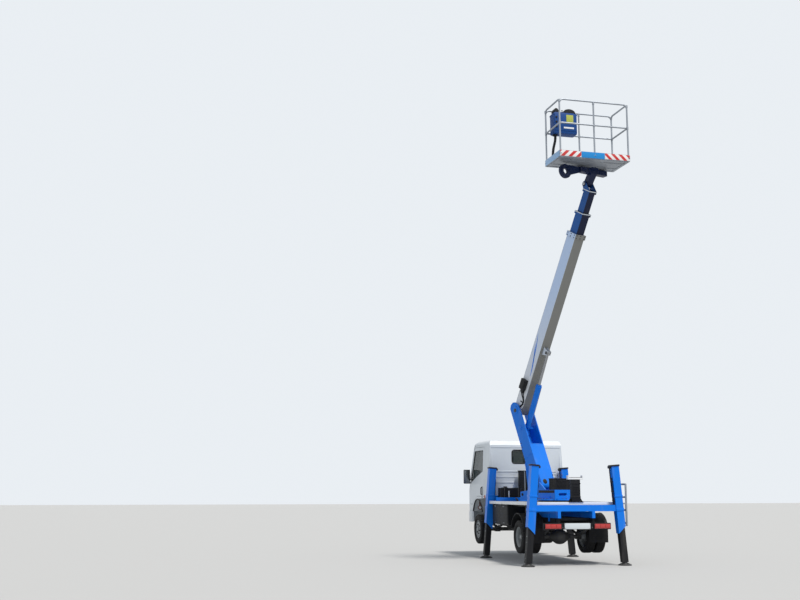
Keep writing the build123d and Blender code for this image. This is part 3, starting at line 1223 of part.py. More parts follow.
with BuildPart() as rear_bumper:
    bumper_back = LEG_REAR_Y - 30
    with Locations((0, bumper_back - REAR_BUMPER[1] / 2, REAR_BUMPER_Z)):
        Box(*REAR_BUMPER)
    for side in (-1, 1):
        with Locations((side * RAIL_X, (RAIL_REAR_Y + bumper_back) / 2, REAR_BUMPER_Z + 40)):
            Box(BUMPER_ARM_WIDTH, RAIL_REAR_Y - bumper_back, BUMPER_ARM_HEIGHT)
keep(rear_bumper, "rear_bumper")

with BuildPart() as rear_lamps:
    for side in (-1, 1):
        with Locations((side * REAR_LAMP_X, bumper_back - REAR_BUMPER[1] - REAR_LAMP[1] / 2, REAR_BUMPER_Z)):
            Box(*REAR_LAMP)
keep(rear_lamps, "rear_lamps")

# On the deck: boom rest, ladder, hydraulic tank
with BuildPart() as boom_rest:
    with Locations((REST_X, LEG_REAR_Y + 120, (DECK_TOP_Z + REST_TOP_Z - 60) / 2)):
        Box(160, 80, REST_TOP_Z - 60 - DECK_TOP_Z)
    with BuildSketch(wide(LEG_REAR_Y + 120 + 50)):
        with Locations((REST_X, REST_TOP_Z - 20)):
            Rectangle(UPPER_WIDTH + 74, 80)
        with Locations((REST_X, REST_TOP_Z)):
            Rectangle(UPPER_WIDTH + 34, 60, mode=Mode.SUBTRACT)
    extrude(amount=100)
keep(boom_rest, "boom_rest")

with BuildPart() as side_ladder:
    for post_y in (LADDER_Y - LADDER_HALF, LADDER_Y + LADDER_HALF):
        with Locations((LADDER_X, post_y, (LADDER_BOTTOM_Z + LADDER_TOP_Z) / 2)):
            Box(LADDER_TUBE, LADDER_TUBE, LADDER_TOP_Z - LADDER_BOTTOM_Z)
        with Locations(((DECK_HALF_WIDTH + LADDER_X) / 2, post_y, DECK_TOP_Z - DECK_THICKNESS / 2)):
            Box(LADDER_X - DECK_HALF_WIDTH, LADDER_TUBE, LADDER_TUBE)
    for step in range(LADDER_STEPS):
        step_z = LADDER_TOP_Z - LADDER_TUBE / 2 - step * LADDER_PITCH
        with Locations((LADDER_X, LADDER_Y, step_z)):
            Box(LADDER_TUBE, 2 * LADDER_HALF, LADDER_TUBE)
keep(side_ladder, "side_ladder")

with BuildPart() as hydraulic_tank:
    with Locations((TANK_X, TANK_Y, DECK_TOP_Z + TANK[2] / 2)):
        Box(*TANK)
    fillet(hydraulic_tank.edges().filter_by(Axis.Z), 40)
keep(hydraulic_tank, "hydraulic_tank")
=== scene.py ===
"""The looks of the cherry picker truck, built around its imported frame. Metres, +Y to the cab, +Z up."""
import json
from math import copysign, cos, exp, hypot, pi, radians, sin, tau

import bmesh
import bpy
from mathutils import Matrix, Vector


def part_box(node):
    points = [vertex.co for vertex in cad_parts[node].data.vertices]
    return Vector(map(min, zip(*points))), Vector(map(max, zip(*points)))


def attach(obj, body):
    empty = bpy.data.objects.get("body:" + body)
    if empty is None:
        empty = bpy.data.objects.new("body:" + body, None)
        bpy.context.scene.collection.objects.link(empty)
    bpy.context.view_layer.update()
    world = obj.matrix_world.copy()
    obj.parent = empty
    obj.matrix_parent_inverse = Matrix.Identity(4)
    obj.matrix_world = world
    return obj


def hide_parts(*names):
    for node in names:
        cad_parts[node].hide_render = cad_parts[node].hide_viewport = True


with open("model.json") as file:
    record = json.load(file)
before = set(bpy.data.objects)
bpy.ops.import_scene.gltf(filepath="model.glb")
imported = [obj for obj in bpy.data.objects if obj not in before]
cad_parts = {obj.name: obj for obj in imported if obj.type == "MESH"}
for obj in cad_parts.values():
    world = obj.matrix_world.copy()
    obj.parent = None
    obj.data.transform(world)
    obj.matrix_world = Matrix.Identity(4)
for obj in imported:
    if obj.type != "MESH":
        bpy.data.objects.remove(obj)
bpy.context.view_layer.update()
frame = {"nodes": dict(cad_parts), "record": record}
RECORD = frame["record"]
NODES = frame["nodes"]
SLOT_OF = {row["node"]: row["material_slot"] for row in RECORD["subparts"]}

# The boom is slewed: these point along it to the rear, across it and up
SLEW = radians(19.6)
REARWARD = Vector((sin(SLEW), -cos(SLEW), 0))
SIDEWAYS = Vector((cos(SLEW), sin(SLEW), 0))
UP = Vector((0, 0, 1))

# Camera: it stands low behind the truck's left rear and looks slightly up
IMAGE_WIDTH = 800
FOCAL_PIXELS = 1080
SENSOR = 36.0
CAMERA_PLACE = Vector((-7.66, -22.02, 1.435))
HEADING = Vector((0.204, 0.979, 0)).normalized()
PITCH = radians(9.98)


def placed(name, data):
    made = bpy.data.objects.new(name, data)
    bpy.context.scene.collection.objects.link(made)
    return made


def make_camera():
    data = bpy.data.cameras.new("camera")
    data.sensor_width = SENSOR
    data.lens = SENSOR * FOCAL_PIXELS / IMAGE_WIDTH
    data.clip_end = 400
    camera = placed("camera", data)
    looks = HEADING * cos(PITCH) + Vector((0, 0, sin(PITCH)))
    turn = looks.to_track_quat("-Z", "Y").to_matrix().to_4x4()
    camera.matrix_world = Matrix.Translation(CAMERA_PLACE) @ turn
    bpy.context.scene.camera = camera


# Light: a high soft sun from the right behind the camera, and an even sky
SUN_FROM = Vector((0.3, -0.62, 1.3))
SUN_STRENGTH = 3.3
SUN_SOFTNESS = radians(9)
SKY_COLOUR = (0.8, 0.86, 0.95, 1)
SKY_STRENGTH = 0.6
BACKGROUND = (0.82, 0.86, 0.9, 1)
FLOOR_COLOUR = (0.46, 0.46, 0.45, 1)


def make_light():
    data = bpy.data.lights.new("sun", "SUN")
    data.energy = SUN_STRENGTH
    data.angle = SUN_SOFTNESS
    data.color = (1.0, 0.965, 0.92)
    sun = placed("sun", data)
    sun.matrix_world = (SUN_FROM * -1).to_track_quat("-Z", "Y").to_matrix().to_4x4()
    world = bpy.data.worlds.new("sky")
    bpy.context.scene.world = world
    world.use_nodes = True
    tree = world.node_tree
    tree.nodes.clear()
    output = tree.nodes.new("ShaderNodeOutputWorld")
    mix = tree.nodes.new("ShaderNodeMixShader")
    light = tree.nodes.new("ShaderNodeBackground")
    seen = tree.nodes.new("ShaderNodeBackground")
    light.inputs["Color"].default_value = SKY_COLOUR
    light.inputs["Strength"].default_value = SKY_STRENGTH
    seen.inputs["Color"].default_value = BACKGROUND
    tree.links.new(seen_rays(tree), mix.inputs["Fac"])
    tree.links.new(light.outputs[0], mix.inputs[1])
    tree.links.new(seen.outputs[0], mix.inputs[2])
    tree.links.new(mix.outputs[0], output.inputs["Surface"])


def seen_rays(tree):
    """1 for the rays that see the backdrop: straight from the camera, in gloss or through glass."""
    path = tree.nodes.new("ShaderNodeLightPath")
    total = path.outputs["Is Camera Ray"]
    for ray in ("Is Glossy Ray", "Is Transmission Ray"):
        most = tree.nodes.new("ShaderNodeMath")
        most.operation = "MAXIMUM"
        tree.links.new(total, most.inputs[0])
        tree.links.new(path.outputs[ray], most.inputs[1])
        total = most.outputs[0]
    return total


def make_floor():
    mesh = bpy.data.meshes.new("floor")
    reach = 90
    mesh.from_pydata([(-reach, -reach, 0), (reach, -reach, 0), (reach, reach, 0), (-reach, reach, 0)], [],
        [(0, 1, 2, 3)])
    floor = placed("floor", mesh)
    material = bpy.data.materials.new("floor")
    material.use_nodes = True
    material.node_tree.nodes["Principled BSDF"].inputs["Base Color"].default_value = FLOOR_COLOUR
    material.node_tree.nodes["Principled BSDF"].inputs["Roughness"].default_value = 0.9
    mesh.materials.append(material)


# Materials
class Shader:
    """A principled material whose colour, roughness and bump are built up from procedural layers."""

    def __init__(self, name, colour, roughness=0.5, metallic=0.0, **sockets):
        self.material = bpy.data.materials.new(name)
        self.material.use_nodes = True
        self.tree = self.material.node_tree
        self.surface = self.tree.nodes["Principled BSDF"]
        self.colour = tuple(colour) + (1,)
        self.roughness = roughness
        self.height = None
        self.surface.inputs["Base Color"].default_value = self.colour
        self.surface.inputs["Roughness"].default_value = roughness
        self.surface.inputs["Metallic"].default_value = metallic
        for socket, value in sockets.items():
            self.surface.inputs[socket.replace("_", " ")].default_value = value
        coordinates = self.tree.nodes.new("ShaderNodeTexCoord").outputs
        self.place = coordinates["Object"]
        self.normal = coordinates["Normal"]

    def node(self, kind, **settings):
        made = self.tree.nodes.new(kind)
        for key, value in settings.items():
            setattr(made, key, value)
        return made

    def link(self, start, end):
        self.tree.links.new(start, end)

    def stretched(self, scale):
        mapping = self.node("ShaderNodeMapping")
        mapping.inputs["Scale"].default_value = scale
        self.link(self.place, mapping.inputs["Vector"])
        return mapping.outputs[0]

    def noise(self, size, detail=4, rough=0.55, stretch=(1, 1, 1)):
        made = self.node("ShaderNodeTexNoise")
        made.inputs["Scale"].default_value = 1 / size
        made.inputs["Detail"].default_value = detail
        made.inputs["Roughness"].default_value = rough
        self.link(self.stretched(stretch), made.inputs["Vector"])
        return made.outputs["Fac"]

    def ramp(self, value, low, high, start=0.0, end=1.0):
        made = self.node("ShaderNodeMapRange")
        for socket, number in zip(("From Min", "From Max", "To Min", "To Max"), (low, high, start, end)):
            made.inputs[socket].default_value = number
        self.link(value, made.inputs["Value"])
        return made.outputs["Result"]

    def times(self, a, b, operation="MULTIPLY"):
        made = self.node("ShaderNodeMath", operation=operation)
        for socket, value in zip(made.inputs, (a, b)):
            if isinstance(value, (int, float)):
                socket.default_value = value
            else:
                self.link(value, socket)
        return made.outputs[0]

    def over(self, mask, colour):
        """Lays a colour over the base where the mask is 1."""
        mix = self.node("ShaderNodeMix", data_type="RGBA")
        self.link(mask, mix.inputs["Factor"])
        if isinstance(self.colour, tuple):
            mix.inputs["A"].default_value = self.colour
        else:
            self.link(self.colour, mix.inputs["A"])
        mix.inputs["B"].default_value = tuple(colour) + (1,)
        self.colour = mix.outputs["Result"]
        self.link(self.colour, self.surface.inputs["Base Color"])

    def rougher(self, mask, low, high):
        self.link(self.ramp(mask, 0, 1, low, high), self.surface.inputs["Roughness"])

    def bump(self, height, depth):
        """Raises the surface by the height, in metres, where the value is 1."""
        made = self.node("ShaderNodeBump")
        made.inputs["Distance"].default_value = depth
        made.inputs["Strength"].default_value = 1
        self.link(height, made.inputs["Height"])
        if self.height is not None:
            self.link(self.height, made.inputs["Normal"])
        self.height = made.outputs["Normal"]
        self.link(self.height, self.surface.inputs["Normal"])

    def up(self):
        """1 on level faces that look up."""
        split = self.node("ShaderNodeSeparateXYZ")
        self.link(self.node("ShaderNodeNewGeometry").outputs["Normal"], split.inputs[0])
        return self.ramp(split.outputs["Z"], 0.3, 0.95)

    def low(self, top, bottom):
        """1 below the height bottom, 0 above top."""
        split = self.node("ShaderNodeSeparateXYZ")
        self.link(self.place, split.inputs[0])
        return self.ramp(split.outputs["Z"], top, bottom)


DUST = (0.42, 0.38, 0.32)


def paint(name, colour, roughness=0.34, coat=0.06, dust=0.3, dark=None):
    """Sprayed paint: a slightly uneven colour, orange peel, dust on level faces and road dirt low down."""
    shade = Shader(name, colour, roughness, Coat_Weight=coat, Coat_Roughness=0.12, Specular_IOR_Level=0.22)
    patches = shade.noise(0.9, 5)
    shade.over(shade.ramp(patches, 0.35, 0.75, 0, 0.25), dark or [c * 0.78 for c in colour])
    streaks = shade.noise(0.12, 6, 0.6, (1, 1, 0.12))
    shade.over(shade.times(shade.ramp(streaks, 0.55, 0.8), 0.1), DUST)
    dirt = shade.times(shade.up(), shade.ramp(shade.noise(0.25, 6), 0.35, 0.7, 0.15, dust))
    shade.over(dirt, DUST)
    shade.over(shade.times(shade.low(1.0, 0.2), shade.ramp(streaks, 0.3, 0.7, 0, dust)), DUST)
    shade.rougher(shade.ramp(patches, 0.3, 0.8), roughness - 0.06, roughness + 0.14)
    shade.bump(shade.noise(0.006, 2), 0.00012)
    return shade.material


def metal(name, colour, roughness, grain=(1, 1, 1), size=0.02, metallic=0.9):
    """Bare metal with a grain, darker stains and fine scratches."""
    shade = Shader(name, colour, roughness, metallic)
    shade.over(shade.ramp(shade.noise(0.3, 6), 0.4, 0.75, 0, 0.45), [c * 0.55 for c in colour])
    lines = shade.noise(size, 6, 0.65, grain)
    shade.rougher(lines, roughness - 0.1, roughness + 0.2)
    shade.bump(lines, 0.0002)
    return shade.material


def paint_with_lit_sides(name, colour, lit_side_low, lit_side_high, low_z, high_z):
    """Sprayed paint whose faces that look across the boom take lighter lit colours, changing along its
    height, while its other faces keep a darker colour as painted shade.
    """
    shade = Shader(name, colour, 0.34, Coat_Weight=0.08, Coat_Roughness=0.12, Specular_IOR_Level=0.22)
    shade.over(shade.ramp(shade.noise(0.7, 5), 0.35, 0.75, 0, 0.3), [c * 0.8 for c in colour])
    # faces that look across the boom get the lit colours; the rest keeps the darker base colour as painted
    # shade
    across = shade.node("ShaderNodeVectorMath", operation="DOT_PRODUCT")
    shade.link(shade.normal, across.inputs[0])
    across.inputs[1].default_value = SIDEWAYS
    side = shade.ramp(shade.times(across.outputs["Value"], 0.0, "ABSOLUTE"), 0.6, 0.8)
    shade.over(side, lit_side_low)
    shade.over(shade.times(side, shade.low(low_z, high_z)), lit_side_high)
    shade.over(shade.times(shade.ramp(shade.noise(0.15, 6, 0.6, (1, 1, 0.15)), 0.55, 0.8), 0.06), DUST)
    shade.rougher(shade.noise(0.6, 4), 0.3, 0.48)
    shade.bump(shade.noise(0.006, 2), 0.00012)
    return shade.material


def moulded(name, colour, roughness=0.55, grain=0.0015, dust=0.14):
    """Moulded plastic or rubber with a fine grain and a dusty bloom."""
    shade = Shader(name, colour, roughness, Specular_IOR_Level=0.3)
    shade.over(shade.ramp(shade.noise(0.4, 5), 0.4, 0.8, 0, 0.3), [0.6 * c + 0.012 for c in colour])
    shade.over(shade.times(shade.up(), shade.ramp(shade.noise(0.1, 6), 0.4, 0.7, 0.02, dust)), DUST)
    shade.rougher(shade.noise(0.08, 5), roughness - 0.1, roughness + 0.15)
    shade.bump(shade.noise(grain, 2), 0.0002)
    return shade.material


def glass(name, colour=(0.01, 0.026, 0.024), clear=0.38):
    """Tinted window glass."""
    shade = Shader(name, colour, 0.04, Alpha=1 - clear, Specular_IOR_Level=0.4)
    shade.over(shade.ramp(shade.noise(0.35, 5), 0.45, 0.8, 0, 0.2), (0.04, 0.06, 0.055))
    return shade.material


def cloth(name, colour):
    """Woven seat cloth."""
    shade = Shader(name, colour, 0.9, Sheen_Weight=0.3)
    weave = shade.node("ShaderNodeTexWave", wave_type="BANDS", bands_direction="X")
    weave.inputs["Scale"].default_value = 260
    shade.link(shade.place, weave.inputs["Vector"])
    shade.over(shade.ramp(shade.noise(0.05, 5), 0.35, 0.7, 0, 0.5), [0.6 * c for c in colour])
    shade.bump(weave.outputs["Fac"], 0.0004)
    return shade.material


def lens(name, colour):
    """A lamp's ribbed lens."""
    shade = Shader(name, colour, 0.12, Coat_Weight=0.8)
    ribs = shade.node("ShaderNodeTexWave", wave_type="BANDS", bands_direction="X")
    ribs.inputs["Scale"].default_value = 28
    shade.link(shade.place, ribs.inputs["Vector"])
    shade.over(shade.ramp(ribs.outputs["Fac"], 0.2, 0.9, 0, 0.35), [min(1, 1.6 * c + 0.03) for c in colour])
    shade.bump(ribs.outputs["Fac"], 0.0015)
    return shade.material


MATERIALS = {
    "white_paint": paint("white_paint", (0.66, 0.71, 0.75), coat=0.15, dust=0.25),
    "blue_paint": paint("blue_paint", (0.001, 0.185, 0.78), dust=0.12, dark=(0.001, 0.125, 0.6)),
    "navy_paint": paint("navy_paint", (0.003, 0.012, 0.055), dust=0.08),
    "black_paint": paint("black_paint", (0.005, 0.006, 0.009), 0.55, 0.02, 0.05),
    "rim_paint": paint("rim_paint", (0.26, 0.29, 0.31), 0.45, 0.1, 0.4),
    "cast_steel": metal("cast_steel", (0.1, 0.1, 0.1), 0.6, metallic=0.6),
    "bare_aluminium": metal("bare_aluminium", (0.36, 0.39, 0.43), 0.46, (1, 1, 6), metallic=0.8),
    # the chrome is made darker than bright chrome, as painted shade on the rods
    "chromed_rod": metal("chromed_rod", (0.34, 0.35, 0.37), 0.18, (1, 1, 9)),
    "tyre_rubber": moulded("tyre_rubber", (0.011, 0.011, 0.012), 0.8, 0.004, 0.3),
    "black_plastic": moulded("black_plastic", (0.009, 0.01, 0.012), 0.55),
    "blue_plastic": moulded("blue_plastic", (0.002, 0.055, 0.235), 0.5),
    "lamp_plastic": lens("lamp_plastic", (0.42, 0.01, 0.008)),
    "head_lamp": lens("head_lamp", (0.55, 0.58, 0.6)),
    "window_glass": glass("window_glass"),
    "seat_cloth": cloth("seat_cloth", (0.07, 0.075, 0.085)),
}

MIRROR = metal("mirror_pane", (0.24, 0.26, 0.28), 0.16, size=0.2, metallic=1.0)
PALE_BLUE = paint("pale_blue", (0.3, 0.5, 0.76), dust=0.2)
PLATE_BLUE = paint("plate_blue", (0.02, 0.25, 0.62), dust=0.2)
EDGE_WHITE = paint("edge_white", (0.8, 0.82, 0.84), dust=0.15)
YELLOW_PLATE = paint("yellow_plate", (0.46, 0.5, 0.1), 0.5, dust=0.1)
AMBER = lens("amber_lens", (0.62, 0.4, 0.06))
DARK_RED = lens("dark_red_lens", (0.1, 0.004, 0.003))


# Shapes
class Shape:
    """One mesh, joined from bevelled boxes, turned forms, tubes, plates and bolts."""

    def __init__(self):
        self.bm = bmesh.new()

    def join(self, part, place):
        part.transform(place)
        mesh = bpy.data.meshes.new("joined")
        part.to_mesh(mesh)
        part.free()
        self.bm.from_mesh(mesh)
        bpy.data.meshes.remove(mesh)

    def box(self, size, place, bevel=0.004):
        part = bmesh.new()
        bmesh.ops.create_cube(part, size=1)
        bmesh.ops.scale(part, vec=size, verts=part.verts)
        bmesh.ops.bevel(part, geom=part.edges[:], offset=min(bevel, min(size) * 0.45), segments=2,
            profile=0.6, affect="EDGES")
        self.join(part, place)

    def plate(self, outline, depth, place, bevel=0.0015):
        """A flat plate: the outline in the place's XY, standing depth along its Z."""
        part = bmesh.new()
        low = [part.verts.new((x, y, 0)) for x, y in outline]
        face = part.faces.new(low)
        grown = bmesh.ops.extrude_face_region(part, geom=[face])
        bmesh.ops.translate(part, vec=(0, 0, depth),
            verts=[v for v in grown["geom"] if isinstance(v, bmesh.types.BMVert)])
        bmesh.ops.recalc_face_normals(part, faces=part.faces)
        bmesh.ops.bevel(part, geom=part.edges[:], offset=bevel, segments=1, affect="EDGES")
        self.join(part, place)

    def turned(self, profile, place, steps=48):
        """A form turned about the place's Z from (z, radius) pairs; closed where a radius is 0."""
        part = bmesh.new()
        rings = []
        for z, radius in profile:
            if radius == 0:
                rings.append([part.verts.new((0, 0, z))])
            else:
                angles = [tau * i / steps for i in range(steps)]
                rings.append([part.verts.new((radius * cos(a), radius * sin(a), z)) for a in angles])
        for low, high in zip(rings, rings[1:]):
            for i in range(steps):
                j = (i + 1) % steps
                corners = []
                for vert in (low[i % len(low)], low[j % len(low)], high[j % len(high)], high[i % len(high)]):
                    if vert not in corners:
                        corners.append(vert)
                if len(corners) > 2:
                    part.faces.new(corners)
        bmesh.ops.recalc_face_normals(part, faces=part.faces)
        self.join(part, place)

    def tube(self, points, radius, sides=10, caps=True):
        """A round tube along a line of points."""
        part = bmesh.new()
        points = [Vector(p) for p in points]
        rings = []
        side = None
        for i, point in enumerate(points):
            ahead = (points[min(i + 1, len(points) - 1)] - points[max(i - 1, 0)]).normalized()
            if side is None:
                side = ahead.orthogonal().normalized()
            side = (side - ahead * side.dot(ahead)).normalized()
            other = ahead.cross(side)
            rings.append([part.verts.new(point + (side * cos(a) + other * sin(a)) * radius)
                for a in (tau * k / sides for k in range(sides))])
        for low, high in zip(rings, rings[1:]):
            for k in range(sides):
                part.faces.new((low[k], low[(k + 1) % sides], high[(k + 1) % sides], high[k]))
        if caps:
            part.faces.new(rings[0][::-1])
            part.faces.new(rings[-1])
        bmesh.ops.recalc_face_normals(part, faces=part.faces)
        self.join(part, Matrix())

    def bolt(self, place, size=0.012, height=0.008):
        """A hexagon head on its washer, standing on the place's XY."""
        self.turned([(0, 0), (0, size * 1.25), (height * 0.25, size * 1.25), (height * 0.25, 0)], place, 14)
        self.turned([(height * 0.25, size), (height, size), (height * 1.15, size * 0.82),
            (height * 1.15, 0)], place, 6)

    def piece(self, name, slot_name, body, material=None, replaces=(), smooth=35):
        """Makes the object from what is joined so far, and starts the next shape empty."""
        mesh = bpy.data.meshes.new(name)
        self.bm.to_mesh(mesh)
        self.bm.clear()
        mesh.shade_smooth()
        mesh.set_sharp_from_angle(angle=radians(smooth))
        made = placed(name, mesh)
        mesh.materials.append(material or MATERIALS[slot_name])
        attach(made, body)
        if replaces:
            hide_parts(*replaces)
        return made


SIDES = (("left", -1), ("right", 1))
UPRIGHT = Matrix.Rotation(radians(90), 4, "X")


def at(x, y, z):
    return Matrix.Translation((x, y, z))


def facing(point, axis, up=(0, 0, 1)):
    """A place at the point whose Z runs along the axis and whose Y leans to up."""
    axis = Vector(axis).normalized()
    up = Vector(up)
    if abs(axis.dot(up.normalized())) > 0.99:
        up = Vector((0, 1, 0))
    x = up.cross(axis).normalized()
    y = axis.cross(x)
    turn = Matrix((x, y, axis)).transposed().to_4x4()
    return Matrix.Translation(point) @ turn


def smooth_line(points, steps=6):
    """The points with a Catmull-Rom line drawn through them."""
    points = [Vector(p) for p in points]
    ends = [points[0] * 2 - points[1]] + points + [points[-1] * 2 - points[-2]]
    line = []
    for a, b, c, d in zip(ends, ends[1:], ends[2:], ends[3:]):
        for i in range(steps):
            t = i / steps
            cubic = (3 * b - a - 3 * c + d) * t ** 3
            line.append(0.5 * (2 * b + (c - a) * t + (2 * a - 5 * b + 4 * c - d) * t * t + cubic))
    return line + [points[-1]]


def closed(points):
    return points + points[:1]


def rounded(half_x, half_y, corner):
    """A rectangle with rounded corners, as points about its middle."""
    points = []
    for x, y, start in ((1, 1, 0), (-1, 1, 90), (-1, -1, 180), (1, -1, 270)):
        for a in (radians(start + 15 * i) for i in range(7)):
            points.append((x * (half_x - corner) + corner * cos(a), y * (half_y - corner) + corner * sin(a)))
    return points


# Sizes repeated from the solids. Axles are (y, z), the tyre is (half width, radius)
FRONT_AXLE = (1.997, 0.57)
REAR_AXLE = (-0.956, 0.515)
TYRE = (0.0925, 0.325)
RIM_RADIUS = 0.2
TRACK = 0.777
TWIN = 0.215
FRONT_FACE = 0.06
REAR_FACE = 0.1075
# A leg is (name, side, y), the deck is (half width, rear, front, top, thickness)
LEG_FOOT_X = 0.982
LEG_LEAN = radians(4.9)
LEG_TOP = 1.903
SLEEVE = 0.15
LEGS = (("front_left", -1, 0.935), ("front_right", 1, 0.935), ("rear_left", -1, -1.89),
    ("rear_right", 1, -1.89))
DECK = (0.914, -1.805, 0.85, 1.2, 0.05)
SLEW_Y = -0.722
TURRET_FLOOR = 1.2603
# The lower boom is (angle, foot, length, width, depth), the upper one (angle, length, width, depth)
LOWER = (radians(66.4), Vector((-0.345, 0, 1.575)), 1.679, 0.36, 0.3)
UPPER = (radians(61.2), 4.02, 0.236, 0.27)
EXTENSION_OUT = (0.445, 0.475)
# Frame, silencer and lamps are given across and up, what stands on the deck across and along
FRAME_FACE = 0.38
SPRING_X = 0.4
SIDE_BOX_X = 0.64
SILENCER = (-0.34, 0.6597)
EXHAUST_RADIUS = 0.028
REST = (0.05, -1.77)
TANK = (-0.505, 0.7)
LADDER = (1.09, -1.6)
REAR_LAMP = (0.5, 0.75)
HEAD_LAMP = (0.64, 1.08)
# Pins: the lower boom's pivot, both cylinders' feet and the eyes of their rods. Barrels are (radius, length)
PIVOT = (-0.08, 0.05)
LOWER_FOOT = (-0.76, 1.345)
LOWER_EYE = (0.9, -0.225)
UPPER_FOOT = 1.26
UPPER_EYE = (1.45, -0.25)
BARRELS = {"lower": (0.055, 0.64), "upper": (0.06, 0.96)}
BARREL_START = 0.042 * 0.7
# Basket: its turn and sizes, how far out it hangs, its toe board, rails and console
BASKET_TURN = Matrix.Rotation(radians(2.7), 4, "Z")
BASKET_LENGTH = 1.5
BASKET_DEPTH = 0.76
BASKET_OUT = 1.45
TOE = 0.13
RAIL_X = 0.727
RAIL_Y = 0.357
RAIL_RADIUS = 0.017
RAIL_TOP = 1.183
RAIL_MIDDLE = 0.696
CONSOLE = (-0.4, 0.2197)


def turret_at(u, v, z):
    return Vector((0, SLEW_Y, 0)) + REARWARD * u + SIDEWAYS * v + UP * z


LOWER_ALONG = REARWARD * -cos(LOWER[0]) + UP * sin(LOWER[0])
LOWER_ACROSS = REARWARD * sin(LOWER[0]) + UP * cos(LOWER[0])
LOWER_BASE = turret_at(LOWER[1].x, 0, LOWER[1].z)


def lower_at(s, v, t):
    return LOWER_BASE + LOWER_ALONG * s + SIDEWAYS * v + LOWER_ACROSS * t


KNEE = lower_at(LOWER[2], 0, 0)
UPPER_ALONG = REARWARD * cos(UPPER[0]) + UP * sin(UPPER[0])
UPPER_ACROSS = REARWARD * -sin(UPPER[0]) + UP * cos(UPPER[0])


def upper_at(s, v, t):
    return KNEE + UPPER_ALONG * s + SIDEWAYS * v + UPPER_ACROSS * t


def beside(point, side):
    """A place on a face of the booms or turret that looks across them."""
    return facing(point, SIDEWAYS * side, UP)


def along_lower(s, v, t):
    """A place whose X runs across the boom, Y along its depth and Z along the lower boom."""
    turn = Matrix((SIDEWAYS, LOWER_ACROSS, LOWER_ALONG)).transposed().to_4x4()
    return Matrix.Translation(lower_at(s, v, t)) @ turn


def along_upper(s, v, t):
    turn = Matrix((SIDEWAYS, UPPER_ACROSS * -1, UPPER_ALONG)).transposed().to_4x4()
    return Matrix.Translation(upper_at(s, v, t)) @ turn


floor_low, floor_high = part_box("basket_floor")
BASKET_FLOOR_Z = floor_high[2] - TOE
BASKET_MIDDLE = Vector(((floor_low[0] + floor_high[0]) / 2, (floor_low[1] + floor_high[1]) / 2,
    BASKET_FLOOR_Z))
BASKET_PLACE = Matrix.Translation(BASKET_MIDDLE) @ BASKET_TURN


# Wheels
def tyre_profile():
    """(axial place, radius, how deep the cross grooves cut there), from bead to bead."""
    half, outer = TYRE
    rows = [(-half * 0.8, RIM_RADIUS - 0.002, 0), (-half * 0.86, RIM_RADIUS + 0.012, 0),
        (-half * 0.96, RIM_RADIUS + 0.03, 0), (-half, RIM_RADIUS + 0.052, 0), (-half, outer - 0.06, 0),
        (-half * 0.97, outer - 0.036, 0), (-half * 0.93, outer - 0.018, 0.5),
        (-half * 0.82, outer - 0.004, 1)]
    grooves = (-0.52, -0.18, 0.18, 0.52)
    for place in grooves:
        middle = half * place * 0.98
        rows += [(middle - 0.0055, outer, 1), (middle - 0.004, outer - 0.009, 0),
            (middle + 0.004, outer - 0.009, 0), (middle + 0.0055, outer, 1)]
    mirrored = [(-x, radius, cut) for x, radius, cut in rows[7::-1]]
    return rows + mirrored


def tyre(shape, x, y, z, steps=108):
    """A road tyre: four circumferential grooves, and cross grooves that part the ribs into blocks."""
    rows = tyre_profile()
    part = bmesh.new()
    rings = []
    for place, radius, cut in rows:
        ring = []
        for i in range(steps):
            angle = tau * i / steps
            sunk = 0.007 * cut if i % 3 == 0 else 0
            ring.append(part.verts.new((place, (radius - sunk) * cos(angle), (radius - sunk) * sin(angle))))
        rings.append(ring)
    for low, high in zip(rings, rings[1:]):
        for i in range(steps):
            part.faces.new((low[i], low[(i + 1) % steps], high[(i + 1) % steps], high[i]))
    bmesh.ops.recalc_face_normals(part, faces=part.faces)
    shape.join(part, at(x, y, z))
    for side in (-1, 1):
        for radius, width in ((0.232, 0.0035), (0.268, 0.0025)):
            face = side * (TYRE[0] - 0.0005)
            ring = [(0, radius - width), (side * 0.0015, radius - width * 0.6),
                (side * 0.0015, radius + width * 0.6), (0, radius + width)]
            shape.turned(ring, at(x, y, z) @ facing((face, 0, 0), (1, 0, 0)), steps)


